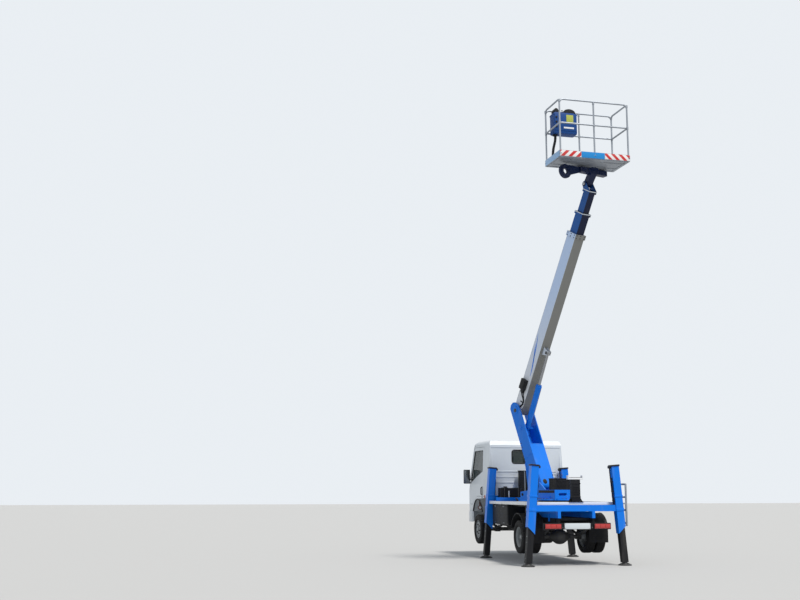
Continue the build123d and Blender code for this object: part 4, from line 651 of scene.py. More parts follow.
def rim(shape, x, y, z, face, holes=8):
    """A disc wheel with hand holes in its cone; its bolting face lies at x + face."""
    flip = copysign(1, face)
    half = TYRE[0] * 0.8
    inner = RIM_RADIUS - 0.012
    barrel = [(-half, RIM_RADIUS), (-half - 0.002, RIM_RADIUS + 0.006), (-half + 0.003, RIM_RADIUS + 0.007),
        (-half + 0.006, RIM_RADIUS), (-half + 0.016, inner + 0.002), (-0.028, inner - 0.006),
        (0.028, inner - 0.006), (half - 0.016, inner + 0.002), (half - 0.006, RIM_RADIUS),
        (half - 0.003, RIM_RADIUS + 0.007), (half + 0.002, RIM_RADIUS + 0.006), (half, RIM_RADIUS)]
    back = [(a, min(r + 0.006, RIM_RADIUS + 0.004)) for a, r in barrel[::-1]]
    shape.turned(closed(barrel + back), at(x, y, z) @ facing((0, 0, 0), (1, 0, 0)), 72)
    steps = holes * 6
    part = bmesh.new()
    cone_start = flip * (half - 0.02)
    rows = [(cone_start, inner - 0.001)]
    for share in (0.18, 0.4, 0.62, 0.84):
        rows.append((cone_start + (face - cone_start) * share, inner + (0.15 - inner) * share))
    rows += [(face, 0.15), (face + flip * 0.003, 0.142), (face + flip * 0.003, 0.066),
        (face - flip * 0.002, 0.058)]
    rings = [[part.verts.new((a, r * cos(tau * i / steps), r * sin(tau * i / steps))) for i in range(steps)]
        for a, r in rows]
    for row, (low, high) in enumerate(zip(rings, rings[1:])):
        for i in range(steps):
            if row in (2, 3) and i % 6 in (1, 2, 3):
                continue
            part.faces.new((low[i], low[(i + 1) % steps], high[(i + 1) % steps], high[i]))
    bmesh.ops.recalc_face_normals(part, faces=part.faces)
    bmesh.ops.solidify(part, geom=part.faces[:], thickness=0.006)
    shape.join(part, at(x, y, z))


def wheel_nuts(shape, x, y, z, side):
    radius, count = 0.1, 6
    for i in range(count):
        angle = tau * i / count + 0.3
        point = Vector((x, y + radius * cos(angle), z + radius * sin(angle)))
        place = facing(point, (side, 0, 0))
        shape.bolt(place, 0.013, 0.02)
        shape.turned([(0.0, 0.007), (0.032, 0.007), (0.034, 0.004), (0.034, 0)], place, 10)


def make_wheels():
    shape = Shape()
    for name, side in SIDES:
        y, z = FRONT_AXLE
        tyre(shape, side * TRACK, y, z)
        shape.piece(f"front_tyre_{name}", "tyre_rubber", f"wheel_front_{name}",
            replaces=[f"tyre_front_{name}"])
        rim(shape, side * TRACK, y, z, side * FRONT_FACE)
        hub = [(-0.06, 0), (-0.06, 0.062), (0.062, 0.062), (0.07, 0.058), (0.074, 0.048), (0.092, 0.044),
            (0.095, 0.036), (0.095, 0)]
        shape.turned(hub, facing((side * TRACK, y, z), (side, 0, 0)), 40)
        shape.piece(f"front_rim_{name}", "rim_paint", f"wheel_front_{name}", replaces=[f"rim_front_{name}"])
        wheel_nuts(shape, side * (TRACK + FRONT_FACE + 0.003), y, z, side)
        shape.tube([(side * (TRACK + 0.055), y + 0.16, z + 0.03),
            (side * (TRACK + 0.085), y + 0.168, z + 0.035)], 0.004)
        shape.piece(f"front_nuts_{name}", "cast_steel", f"wheel_front_{name}")
        y, z = REAR_AXLE
        tyre(shape, side * TRACK, y, z)
        tyre(shape, side * (TRACK - TWIN), y, z)
        shape.piece(f"rear_tyres_{name}", "tyre_rubber", f"wheels_rear_{name}",
            replaces=[f"tyres_rear_{name}"])
        rim(shape, side * TRACK, y, z, -side * REAR_FACE)
        rim(shape, side * (TRACK - TWIN), y, z, side * REAR_FACE)
        tube_end = TRACK - TWIN - TYRE[0] - 0.02
        drum = [(0, 0), (0, 0.082), (TRACK - REAR_FACE + 0.06 - tube_end, 0.082),
            (TRACK - REAR_FACE + 0.066 - tube_end, 0.074)]
        shape.turned(drum, facing((side * (tube_end + 0.0003), y, z), (side, 0, 0)), 40)
        cap = [(0, 0.074), (0.012, 0.06), (0.012, 0.052), (0.108, 0.052), (0.116, 0.048), (0.122, 0.038),
            (0.122, 0)]
        shape.turned(cap, facing((side * (TRACK - REAR_FACE + 0.03), y, z), (side, 0, 0)), 40)
        shape.piece(f"rear_rims_{name}", "rim_paint", f"wheels_rear_{name}", replaces=[f"rims_rear_{name}"])
        wheel_nuts(shape, side * (TRACK - REAR_FACE + 0.003), y, z, side)
        for i in range(8):
            angle = tau * i / 8
            point = Vector((side * (TRACK + 0.0445), y + 0.044 * cos(angle), z + 0.044 * sin(angle)))
            shape.bolt(facing(point, (side, 0, 0)), 0.005, 0.004)
        shape.piece(f"rear_nuts_{name}", "cast_steel", f"wheels_rear_{name}")


# Cab
CAB_BACK = 1.073
CAB_FRONT = 2.706
CAB_HALF = 0.855
ROOF_HALF = 0.82
ROOF_Z = 2.535
BELT_Z = 1.72
ARCH = (1.997, 0.838, 0.4)
WIPER_REACH = 0.55 * 0.55
MIRROR_Z = 1.74
WINDOW = ((1.6, 1.85), (1.6, 2.31), (2.27, 2.31), (2.51, 1.69), (2.51, 1.62))
DOOR = ((1.5, 1.3), (2.05, 1.3), (2.42, 1.12), (2.59, 1.12), (2.59, 1.64), (2.3, 2.385), (1.5, 2.385))


def side_x(z, out=0.0):
    """How far out the cab's side lies at the height z."""
    share = max(0.0, (z - BELT_Z) / (ROOF_Z - BELT_Z))
    return CAB_HALF - (CAB_HALF - ROOF_HALF) * share + out


def on_side(side, outline, out=0.0):
    return [(side * side_x(z, out), y, z) for y, z in outline]


def make_cab_sides():
    shape = Shape()
    for name, side in SIDES:
        shape.tube(closed(on_side(side, WINDOW, -0.008)), 0.011, 8)
        shape.piece(f"window_seal_{name}", "black_plastic", f"door_{name}")
        shape.tube(closed(on_side(side, DOOR, -0.012)), 0.0035, 6)
        shape.piece(f"door_seam_{name}", "black_plastic", "cab")
        shape.box((0.006, 0.052, 0.2), at(side * (side_x(1.42) + 0.001), 1.63, 1.415), 0.003)
        x = side * (side_x(1.42) + 0.006)
        grip = ((0, 1.335), (0.022, 1.35), (0.024, 1.42), (0.022, 1.48), (0, 1.495))
        shape.tube(smooth_line([(x + side * out, 1.63, z) for out, z in grip]), 0.01, 10)
        shape.turned([(0, 0), (0, 0.014), (0.006, 0.014), (0.008, 0.01), (0.008, 0)],
            facing((side * side_x(1.28), 1.63, 1.275), (side, 0, 0)), 20)
        shape.piece(f"door_handle_{name}", "black_plastic", f"door_{name}")
        y, z, radius = ARCH
        angles = [radians(18 + 144 * i / 40) for i in range(41)]
        lip = [(side * (CAB_HALF + 0.002), y + (radius - 0.006) * cos(a), z + (radius - 0.006) * sin(a))
            for a in angles if y + radius * cos(a) > CAB_BACK + 0.02]
        shape.tube(lip, 0.014, 8)
        shape.piece(f"arch_lip_{name}", "black_plastic", "cab")
        for low in (1.02, 1.08):
            shape.box((0.03, 0.23, 0.012), at(side * (CAB_HALF - 0.03), 2.56, low - 0.02))
        shape.box((0.024, 0.25, 0.06), at(side * (CAB_HALF - 0.032), 2.56, 1.0), 0.006)
        shape.piece(f"cab_step_{name}", "black_plastic", "cab")
        # gutter over the doors
        rows = ((2.44, 1.48, 2.44), (2.44, 2.24, 2.44), (2.4, 2.31, 2.395), (2.0, 2.5, 1.94),
            (1.7, 2.612, 1.66))
        run = [(side * (side_x(level) + 0.002), y, z) for level, y, z in rows]
        shape.tube(run, 0.007, 8)
        shape.piece(f"gutter_{name}", "white_paint", "cab")


def make_cab_rear():
    """Pressed ribs and the window's seal."""
    shape = Shape()
    for z in (1.6, 1.72, 1.84):
        shape.box((1.38, 0.01, 0.03), at(0, CAB_BACK - 0.003, z), 0.0045)
    for x in (-0.79, 0.79):
        shape.box((0.026, 0.01, 0.74), at(x, CAB_BACK - 0.003, 1.88), 0.0045)
    shape.box((1.6, 0.01, 0.024), at(0, CAB_BACK - 0.003, 2.37), 0.0045)
    shape.piece("rear_wall_ribs", "white_paint", "cab")
    ring = [(x, CAB_BACK + 0.006, 2.16 + z) for x, z in rounded(0.322, 0.147, 0.06)]
    shape.tube(closed(ring), 0.014, 8)
    shape.piece("rear_window_seal", "black_plastic", "cab")


def make_windscreen():
    """The seal and two wipers."""
    shape = Shape()
    foot = Vector((0, 2.64, 1.64))
    brow = Vector((0, 2.31, 2.465))
    screen = (brow - foot).normalized()

    def on_screen(x, z, out=0.0):
        point = foot + screen * ((z - foot.z) / screen.z)
        normal = Vector((0, screen.z, -screen.y))
        return Vector((x, point.y, point.z)) + normal * out

    shape.tube(closed([on_screen(-0.742, 1.698), on_screen(0.742, 1.698), on_screen(0.662, 2.392),
        on_screen(-0.662, 2.392)]), 0.013, 8)
    for x in (-0.58, 0.02):
        tip = x + WIPER_REACH
        base = on_screen(x, 1.69, 0.006)
        end = on_screen(tip, 1.9, 0.012)
        shape.tube([base, base + Vector((0, 0.012, 0.008)), end], 0.006, 8)
        shape.turned([(0, 0), (0, 0.016), (0.012, 0.014), (0.012, 0)],
            facing(base, (0, screen.z, -screen.y)), 18)
        shape.tube([on_screen(tip - 0.24, 1.835, 0.011), on_screen(tip + 0.24, 1.965, 0.011)], 0.006, 6)
    shape.piece("windscreen_trim", "black_plastic", "cab")


def make_cab_front():
    """A slatted grille, lamp bowls and bezels, and two fog lamps."""
    shape = Shape()
    shape.box((1.02, 0.01, 0.23), at(0, CAB_FRONT + 0.002, 1.15))
    for i in range(6):
        shape.box((0.96, 0.016, 0.012), at(0, CAB_FRONT + 0.01, 1.06 + 0.036 * i))
    for x in (-0.32, 0, 0.32):
        shape.box((0.014, 0.012, 0.2), at(x, CAB_FRONT + 0.008, 1.15), 0.003)
    shape.piece("front_grille", "black_plastic", "cab")
    for side in (-1, 1):
        for dx in (-0.075, 0.065):
            place = facing((side * HEAD_LAMP[0] + dx * side, CAB_FRONT + 0.03, HEAD_LAMP[1]), (0, 1, 0))
            shape.turned([(0, 0.066), (0.004, 0.064), (0.006, 0.056), (0.003, 0.042), (0.001, 0)], place, 40)
    shape.piece("head_lamp_bowls", "head_lamp", "cab")
    for side in (-1, 1):
        shape.box((0.32, 0.018, 0.18), at(side * HEAD_LAMP[0], CAB_FRONT + 0.006, HEAD_LAMP[1]), 0.006)
        shape.box((0.1, 0.012, 0.06), at(side * 0.745, CAB_FRONT + 0.036, 0.9))
    shape.piece("lamp_bezels", "black_plastic", "cab")
    for side in (-1, 1):
        place = facing((side * 0.56, 2.757, 0.84), (0, 1, 0))
        shape.turned([(-0.004, 0), (-0.004, 0.06), (0.001, 0.058), (0.002, 0.045), (0, 0)], place, 36)
    shape.piece("fog_lamps", "head_lamp", "cab")


def make_cab_lamps():
    """In each front arch a round lamp with a dark red ring and a pale middle, and a repeater on each side."""
    shape = Shape()
    for name, side in SIDES:
        place = facing((side * 0.8, 2.0, 1.045), (side * 0.35, -1, 0))
        shape.turned([(-0.03, 0), (-0.03, 0.052), (0.008, 0.052), (0.012, 0.046), (0.012, 0.03),
            (0.006, 0.028)], place, 32)
        shape.box((0.03, 0.012, 0.15), at(side * 0.796, 2.036, 1.14), 0.003)
        shape.piece(f"arch_lamp_{name}", "lamp_plastic", "cab", material=DARK_RED)
        shape.turned([(0.004, 0), (0.004, 0.029), (0.011, 0.026), (0.014, 0)], place, 24)
        shape.piece(f"arch_lamp_middle_{name}", "head_lamp", "cab")
    for name, side in SIDES:
        place = facing((side * CAB_HALF, 1.42, 1.29), (side, 0, 0))
        shape.turned([(-0.002, 0), (-0.002, 0.036), (0.008, 0.036), (0.013, 0.028), (0.015, 0.012),
            (0.015, 0)], place, 32)
        shape.piece(f"side_repeater_{name}", "lamp_plastic", "cab")


def make_mirrors():
    shape = Shape()
    for name, side in SIDES:
        x = side * (CAB_HALF + 0.105)
        shape.box((0.146, 0.046, 0.316), at(x, 2.545, MIRROR_Z), 0.02)
        shape.box((0.15, 0.014, 0.32), at(x, 2.516, MIRROR_Z), 0.006)
        for z in (1.6, 1.68):
            shape.box((0.04, 0.024, 0.024), at(side * (CAB_HALF + 0.0203), 2.538, z), 0.006)
        shape.piece(f"mirror_housing_{name}", "black_plastic", f"door_{name}", replaces=[f"mirror_{name}"])
        shape.box((0.13, 0.004, 0.296), at(x, 2.509, MIRROR_Z), 0.0015)
        shape.piece(f"mirror_pane_{name}", "head_lamp", f"door_{name}", material=MIRROR)


def swell(made, voxel=0.01, frames=20, most=0.014):
    """Pumps a closed form up as cloth; no point moves further than most."""
    remesh = made.modifiers.new("remesh", "REMESH")
    remesh.mode = "VOXEL"
    remesh.voxel_size = voxel
    scene = bpy.context.scene
    graph = bpy.context.evaluated_depsgraph_get()
    made.data = bpy.data.meshes.new_from_object(made.evaluated_get(graph))
    made.modifiers.clear()
    start = [vert.co.copy() for vert in made.data.vertices]
    cloth = made.modifiers.new("cloth", "CLOTH")
    cloth.settings.quality = 4
    cloth.settings.use_pressure = True
    cloth.settings.uniform_pressure_force = 4
    cloth.settings.effector_weights.gravity = 0
    for step in range(1, frames + 1):
        scene.frame_set(step)
    graph = bpy.context.evaluated_depsgraph_get()
    blown = bpy.data.meshes.new_from_object(made.evaluated_get(graph))
    made.modifiers.clear()
    made.data = blown
    for vert, before in zip(blown.vertices, start):
        moved = vert.co - before
        if moved.length > most:
            vert.co = before + moved * (most / moved.length)
    scene.frame_set(1)


def sew(mesh, size, seams, width=0.011, depth=0.012):
    """Presses the sewn channels into a pad's top."""
    half = Vector(size) / 2
    for vert in mesh.vertices:
        x, y, z = vert.co
        if z < 0.2 * half.z:
            continue
        for axis, where in seams:
            far = x - where * half.x if axis == "x" else y - where * half.y
            vert.co.z -= depth * exp(-(far / width) ** 2) * min(1, z / half.z)


def cushion(name, size, place, seams=()):
    """A padded pad: a crowned closed form whose sides pull in, pumped up as cloth, then sewn."""
    part = bmesh.new()
    bmesh.ops.create_cube(part, size=2)
    bmesh.ops.subdivide_edges(part, edges=part.edges[:], cuts=23, use_grid_fill=True)
    half = Vector(size) / 2 * 0.97
    for vert in part.verts:
        x, y, z = vert.co
        crown = (1 - abs(x) ** 3.2) * (1 - abs(y) ** 3.2)
        lift = 0.72 + 0.28 * crown if z > 0 else 1
        belly = 1 + 0.018 * (1 - z * z)
        vert.co = (x * (1 - 0.035 * abs(y) ** 4) * half.x * belly,
            y * (1 - 0.035 * abs(x) ** 4) * half.y * belly, z * half.z * lift)
    bmesh.ops.recalc_face_normals(part, faces=part.faces)
    mesh = bpy.data.meshes.new(name)
    part.to_mesh(mesh)
    part.free()
    made = placed(name, mesh)
    swell(made)
    sew(made.data, size, seams)
    made.data.transform(place)
    made.data.shade_smooth()
    made.data.materials.clear()
    made.data.materials.append(MATERIALS["seat_cloth"])
    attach(made, "cab")
    return made


def make_seats():
    shape = Shape()
    for name, x, width, seams in (("driver", -0.43, 0.47, (("x", -0.55), ("x", 0.55))),
            ("bench", 0.33, 0.75, (("x", -0.34), ("x", 0.34), ("x", 0.0)))):
        seat = cushion(f"{name}_seat", (width, 0.52, 0.15), at(x, 1.54, 1.508), seams)
        lean = Matrix.Rotation(radians(93), 4, "X")
        back = cushion(f"{name}_back", (width - 0.02, 0.52, 0.11), at(x, 1.262, 1.872) @ lean,
            seams + (("y", 0.3),))
        if name == "driver":
            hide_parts("cab_seats")
        shape.box((width - 0.03, 0.5, 0.175), at(x, 1.54, 1.34), 0.018)
        shape.box((width - 0.08, 0.03, 0.62), at(x, 1.205, 1.86), 0.01)
        for dx in (-1, 1):
            shape.box((0.03, 0.54, 0.03), at(x + dx * (width / 2 - 0.07), 1.53, 1.268), 0.006)
        shape.piece(f"{name}_seat_base", "black_plastic", "cab")


def make_cab_inside():
    shape = Shape()
    axis = Vector((0, -0.55, 0.835)).normalized()
    place = facing((-0.43, 2.17, 1.7), axis)
    ring = [(0.011 + 0.015 * sin(a), 0.196 + 0.015 * cos(a)) for a in (tau * i / 14 for i in range(15))]
    shape.turned(ring, place, 56)
    for turn in (90, 210, 330):
        a = radians(turn)
        inner = place @ Vector((0.04 * cos(a), 0.04 * sin(a), 0.008))
        outer = place @ Vector((0.192 * cos(a), 0.192 * sin(a), 0.011))
        shape.tube([inner, (inner + outer) / 2 - axis * 0.004, outer], 0.01, 10)
    shape.turned([(-0.012, 0), (-0.012, 0.05), (0.01, 0.055), (0.018, 0.048), (0.021, 0.03), (0.021, 0)],
        place, 32)
    shape.turned([(-0.255, 0), (-0.255, 0.022), (-0.012, 0.022), (-0.012, 0)], place, 20)
    shape.piece("steering_wheel_rim", "black_plastic", "cab", replaces=["steering_wheel"])
    hood = [(-0.17, 0), (0.17, 0), (0.17, 0.045), (0.13, 0.075), (-0.13, 0.075), (-0.17, 0.045)]
    shape.plate(hood, 0.13, at(-0.43, 2.445, 1.661) @ UPRIGHT, 0.006)
    for x in (-0.66, -0.2, 0.3, 0.66):
        shape.box((0.13, 0.008, 0.055), at(x, 2.3, 1.56), 0.003)
    shape.box((0.33, 0.012, 0.12), at(0.4, 2.296, 1.48), 0.005)
    shape.piece("dash_fittings", "black_plastic", "cab")


# Chassis, deck and legs
def leg_place(side, y, height, out=0.0, forward=0.0):
    """A place on a leg's middle line, its Z up along the leg, X outward from the truck and Y forward."""
    lean = Matrix.Rotation(-side * LEG_LEAN, 4, "Y")
    turn = Matrix.Identity(4) if side > 0 else Matrix.Rotation(pi, 4, "Z")
    foot = at(side * LEG_FOOT_X, y, 0)
    return foot @ lean @ Matrix.Translation((side * out, forward, height / cos(LEG_LEAN))) @ turn


# Two pipes on a leg's inner face: how far forward, then (height, how much nearer the sleeve)
LEG_PIPES = (
    (0.03, ((1.16, 0), (1.3, 0), (1.5, 0), (1.7, 0), (1.815, 0), (1.86, 0.006), (1.865, 0.016))),
    (-0.03, ((1.16, 0), (1.3, 0), (1.5, 0), (1.64, 0), (1.675, 0.009))),
)


def make_legs():
    shape = Shape()
    for name, side, y in LEGS:
        half = SLEEVE / 2
        for grown, tall, z, bevel in ((0.018, 0.012, LEG_TOP - 0.007, 0.003), (0.014, 0.05, 1.06, 0.004),
                (0.014, 0.036, 1.32, 0.004)):
            shape.box((SLEEVE + grown, SLEEVE + grown, tall), leg_place(side, y, z), bevel)
        shape.piece(f"sleeve_bands_{name}", "blue_paint", "chassis")
        shape.box((SLEEVE + 0.026, SLEEVE + 0.026, 0.034), leg_place(side, y, LEG_TOP + 0.004), 0.01)
        shape.box((0.05, SLEEVE * 0.6, 0.05), leg_place(side, y, LEG_TOP - 0.02, -half - 0.02), 0.01)
        shape.piece(f"sleeve_cap_{name}", "black_plastic", "chassis")
        inner = -half - 0.014
        for forward, run in LEG_PIPES:
            points = [leg_place(side, y, z, inner + out, forward).translation for z, out in run]
            shape.tube(smooth_line(points, 4), 0.01, 8)
        for z in (1.24, 1.42, 1.6):
            shape.box((0.022, 0.1, 0.02), leg_place(side, y, z, inner + 0.004, 0.0))
        shape.piece(f"leg_pipes_{name}", "black_plastic", "chassis")
        foot = at(side * LEG_FOOT_X, y, 0)
        rings = [(0.0165, 0.128), (0.024, 0.12), (0.026, 0.11), (0.0175, 0.1), (0.0165, 0.098)]
        shape.turned(rings, foot, 48)
        ball = [(0.016, 0.07), (0.03, 0.068), (0.036, 0.058), (0.05, 0.052), (0.061, 0.05), (0.066, 0.048),
            (0.066, 0.03)]
        shape.turned(ball, foot, 40)
        for i in range(8):
            turn = Matrix.Rotation(tau * (i + 0.5) / 8, 4, "Z")
            place = foot @ turn @ at(0.062, 0.003, 0.0165) @ UPRIGHT
            shape.plate([(0, 0), (0.052, 0), (0.052, 0.006), (0.006, 0.03), (0, 0.03)], 0.006, place, 0.001)
        shape.piece(f"foot_ribs_{name}", "cast_steel", f"leg_{name}")
        shape.box((0.003, 0.05, 0.012), leg_place(side, y, 0.56, 0.0608, 0), 0.001)
        for z in (0.15, 0.3, 0.45):
            shape.box((0.003, 0.04, 0.006), leg_place(side, y, z, 0.0608, 0), 0.001)
        shape.piece(f"leg_marks_{name}", "rim_paint", f"leg_{name}")


# The tread is left out below the tank, the boom rest and the turret
TREAD_GAPS = ((*TANK, 0.26, 0.15), (*REST, 0.11, 0.07))
TURRET_CLEAR = 0.4


def make_deck():
    shape = Shape()
    half, rear, front, top, thick = DECK
    part = bmesh.new()
    pitch = 0.045
    columns = int(2 * (half - 0.03) / pitch)
    rows = int((front - rear - 0.06) / pitch)
    outline = ((0.016, 0), (0.008, 0.0036), (-0.008, 0.0036), (-0.016, 0), (-0.008, -0.0036),
        (0.008, -0.0036))
    for i in range(columns):
        for j in range(rows):
            x = -half + 0.045 + i * pitch
            y = rear + 0.045 + j * pitch
            under = any(abs(x - u) < wide and abs(y - v) < deep for u, v, wide, deep in TREAD_GAPS)
            if under or hypot(x, y - SLEW_Y) < TURRET_CLEAR:
                continue
            turn = radians(45 if (i + j) % 2 else -45)
            low = []
            for a, b in outline:
                p = Vector((a, b))
                p.rotate(Matrix.Rotation(turn, 2))
                low.append((x + p.x, y + p.y))
            base = [part.verts.new((a, b, top)) for a, b in low]
            cap = [part.verts.new((x + (a - x) * 0.72, y + (b - y) * 0.72, top + 0.0018)) for a, b in low]
            for k in range(6):
                part.faces.new((base[k], base[(k + 1) % 6], cap[(k + 1) % 6], cap[k]))
            part.faces.new(cap)
    shape.join(part, Matrix())
    shape.piece("deck_tread", "bare_aluminium", "chassis", smooth=0)
    for side in (-1, 1):
        shape.box((0.01, front - rear, 0.058), at(side * (half + 0.001), (front + rear) / 2, top - 0.025),
            0.003)
        for i in range(7):
            y = rear + 0.2 + i * 0.4
            if abs(y - LEGS[0][2]) > 0.15:
                shape.box((0.012, 0.05, 0.03), at(side * (half + 0.006), y, top - 0.03))
                ring = [Vector((side * (half + 0.01 + 0.012 * sin(pi * k / 8)), y - 0.022 + 0.044 * k / 8,
                    top - 0.034 - 0.02 * sin(pi * k / 8))) for k in range(9)]
                shape.tube(ring, 0.004, 6)
    for y in (rear - 0.001, front + 0.001):
        shape.box((2 * half, 0.01, 0.058), at(0, y, top - 0.025), 0.003)
    shape.piece("deck_edge", "white_paint", "chassis", material=EDGE_WHITE)
    for x in (-0.74, -0.56, 0.3, 0.74):
        shape.box((0.03, front - rear - 0.04, 0.04), at(x, (front + rear) / 2, top - thick - 0.02))
    shape.piece("deck_stringers", "black_paint", "chassis")


def make_frame_fittings():
    shape = Shape()
    for side in (-1, 1):
        for i in range(22):
            y = -1.7 + i * 0.19
            for z in (0.78, 0.86):
                if abs(y - FRONT_AXLE[0]) > 0.1 and abs(y - REAR_AXLE[0]) > 0.1:
                    shape.turned([(0, 0.009), (0.004, 0.008), (0.0055, 0.004), (0.0055, 0)],
                        facing((side * FRAME_FACE, y, z), (side, 0, 0)), 10)
    shape.piece("rail_rivets", "black_paint", "chassis")
    for side in (-1, 1):
        for y in (-1.45, -0.3, 0.15, 0.6):
            shape.box((0.012, 0.07, 0.15), at(side * (FRAME_FACE + 0.006), y, 0.905), 0.003)
            for z in (0.86, 0.95):
                shape.bolt(facing((side * (FRAME_FACE + 0.012), y, z), (side, 0, 0)), 0.01, 0.008)
    shape.piece("frame_brackets", "blue_paint", "chassis")
    for i, x in enumerate((-0.3, -0.286, 0.3)):
        z = 0.755 + 0.016 * i
        shape.tube([(x, 2.2, z), (x, 1.6, z), (x, 0.4, z), (x, -0.6, z), (x, -1.7, z)], 0.005, 8)
    shape.tube(smooth_line([(-0.28, -0.5, 0.77), (-0.26, -0.62, 0.72), (-0.22, -0.78, 0.66),
        (-0.2, -0.9, 0.61)], 5), 0.006, 8)
    shape.piece("chassis_pipes", "black_plastic", "chassis")


def make_side_boxes():
    """Lids with ribs, latches and hinges."""
    shape = Shape()
    for name, side, y, length, height in (("left", -1, 0.29, 1.1, 0.42), ("right", 1, 0.1, 0.7, 0.38)):
        face = side * (SIDE_BOX_X + 0.21)
        middle = 1.15 - height / 2
        shape.box((0.012, length - 0.05, height - 0.06), at(face + side * 0.003, y, middle), 0.005)
        if name == "left":
            shape.box((0.004, 0.01, height - 0.08), at(face + side * 0.009, y, middle), 0.001)
        for i in range(5):
            shape.box((0.006, length - 0.14, 0.01),
                at(face + side * 0.009, y, middle - height * 0.3 + i * height * 0.15), 0.002)
        shape.box((0.4, length - 0.02, 0.008), at(side * SIDE_BOX_X, y, 1.15 - height - 0.004), 0.003)
        shape.piece(f"box_lid_{name}", "black_plastic", "chassis")
        for dy in (-0.3, 0.3):
            latch_z = middle + height * 0.38
            hinge_z = middle - height * 0.42
            shape.box((0.012, 0.06, 0.03), at(face + side * 0.012, y + dy, latch_z))
            shape.turned([(0, 0.014), (0.01, 0.012), (0.01, 0)],
                facing((face + side * 0.018, y + dy, latch_z), (side, 0, 0)), 16)
            shape.tube([(face + side * 0.012, y + dy + end, hinge_z) for end in (-0.05, 0.05)], 0.006, 8)
        shape.piece(f"box_latches_{name}", "chromed_rod", "chassis")


def make_mudflaps():
    """Flaps behind the rear wheels, and the guards' rolled edges."""
    shape = Shape()
    for name, side in SIDES:
        shape.box((0.4, 0.008, 0.3), at(side * 0.665, -1.381, 0.56), 0.003)
        for z in (0.47, 0.51, 0.55):
            shape.box((0.36, 0.004, 0.01), at(side * 0.665, -1.387, z), 0.0015)
        shape.piece(f"mudflap_{name}", "tyre_rubber", "chassis")
        radius = TYRE[1] + 0.12
        edge = [(side * (TRACK + 0.0995), REAR_AXLE[0] + radius * cos(a),
            REAR_AXLE[1] + 0.02 + radius * sin(a)) for a in (radians(20 + 140 * i / 32) for i in range(33))]
        shape.tube(edge, 0.007, 8)
        shape.piece(f"guard_edge_{name}", "black_plastic", "chassis")


def make_rear():
    """Three lenses a lamp with their frames, and a blank plate."""
    shape = Shape()
    for side in (-1, 1):
        for dx, width in ((-0.105, 0.09), (0, 0.1), (0.105, 0.09)):
            shape.box((width, 0.01, 0.066), at(side * (REAR_LAMP[0] + dx), -2.0135, REAR_LAMP[1]), 0.005)
    shape.piece("rear_lamp_lenses", "lamp_plastic", "chassis")
    for side in (-1, 1):
        for dz in (-0.05, 0.05):
            shape.box((0.336, 0.012, 0.01), at(side * REAR_LAMP[0], -2.006, REAR_LAMP[1] + dz), 0.003)
        for dx in (-0.164, 0.164):
            shape.box((0.01, 0.012, 0.106), at(side * REAR_LAMP[0] + dx, -2.006, REAR_LAMP[1]), 0.003)
    shape.piece("rear_lamp_frames", "black_plastic", "chassis")
    shape.box((0.52, 0.003, 0.11), at(0, -1.982, 0.752), 0.001)
    shape.piece("blank_plate", "white_paint", "chassis")
    for dx in (-1, 1):
        for dz in (-1, 1):
            shape.turned([(0, 0.006), (0.003, 0.004), (0.003, 0)],
                facing((dx * 0.245, -1.9835, 0.752 + dz * 0.042), (0, -1, 0)), 10)
    for x in (-0.64, -0.3, 0.3, 0.64):
        shape.bolt(facing((x, -1.98, 0.725), (0, -1, 0)), 0.01)
    shape.piece("plate_screws", "cast_steel", "chassis")


def make_ladder_treads():
    """A ribbed sheet on each rung."""
    shape = Shape()
    for i in range(4):
        z = 1.56 - 0.015 - 0.25 * i
        shape.box((0.034, 0.36, 0.004), at(*LADDER, z + 0.0155), 0.001)
        for k in range(9):
            shape.box((0.03, 0.006, 0.003), at(LADDER[0], LADDER[1] - 0.16 + 0.04 * k, z + 0.0185), 0.001)
    shape.piece("ladder_treads", "bare_aluminium", "chassis")


def make_tank_fittings():
    """Filler cap, straps, suction pipe and gauge."""
    shape = Shape()
    place = at(-0.6, 0.7, 1.48)
    shape.turned([(0, 0.045), (0.012, 0.045), (0.014, 0.04), (0.03, 0.038), (0.034, 0.03), (0.034, 0)],
        place, 32)
    for k in range(12):
        turn = Matrix.Rotation(tau * k / 12, 4, "Z")
        shape.box((0.004, 0.006, 0.016), place @ turn @ at(0.039, 0, 0.022), 0.001)
    for x in (-0.66, -0.35):
        strap = [(x, 0.577, 1.205), (x, 0.577, 1.47), (x, 0.59, 1.483), (x, 0.81, 1.483), (x, 0.823, 1.47),
            (x, 0.823, 1.205)]
        shape.tube(strap, 0.006, 6)
    shape.tube(smooth_line([(-0.42, 0.575, 1.26), (-0.42, 0.545, 1.26), (-0.4, 0.52, 1.24),
        (-0.38, 0.515, 1.205)], 5), 0.016, 10)
    shape.piece("tank_fittings", "cast_steel", "chassis")
    shape.box((0.03, 0.01, 0.15), at(-0.56, 0.577, 1.345))
    shape.piece("tank_gauge", "head_lamp", "chassis")


def make_boom_rest():
    """A black post, a thin white cradle with upturned ends and a rubber pad."""
    shape = Shape()
    shape.box((0.18, 0.1, 0.44), at(*REST, 1.42), 0.008)
    for z in (1.3, 1.56):
        shape.box((0.192, 0.112, 0.02), at(*REST, z))
    for i in range(5):
        shape.box((0.12, 0.006, 0.01), at(REST[0], REST[1] - 0.053, 1.36 + 0.034 * i), 0.002)
    shape.piece("rest_post", "black_paint", "chassis", replaces=["boom_rest"])
    shape.box((0.31, 0.1, 0.034), at(*REST, 1.655), 0.005)
    for dx in (-1, 1):
        shape.box((0.018, 0.1, 0.05), at(REST[0] + dx * 0.146, REST[1], 1.692))
    shape.piece("rest_cradle", "white_paint", "chassis", material=EDGE_WHITE)
    shape.box((0.25, 0.092, 0.01), at(*REST, 1.676))
    shape.piece("rest_pads", "tyre_rubber", "chassis")


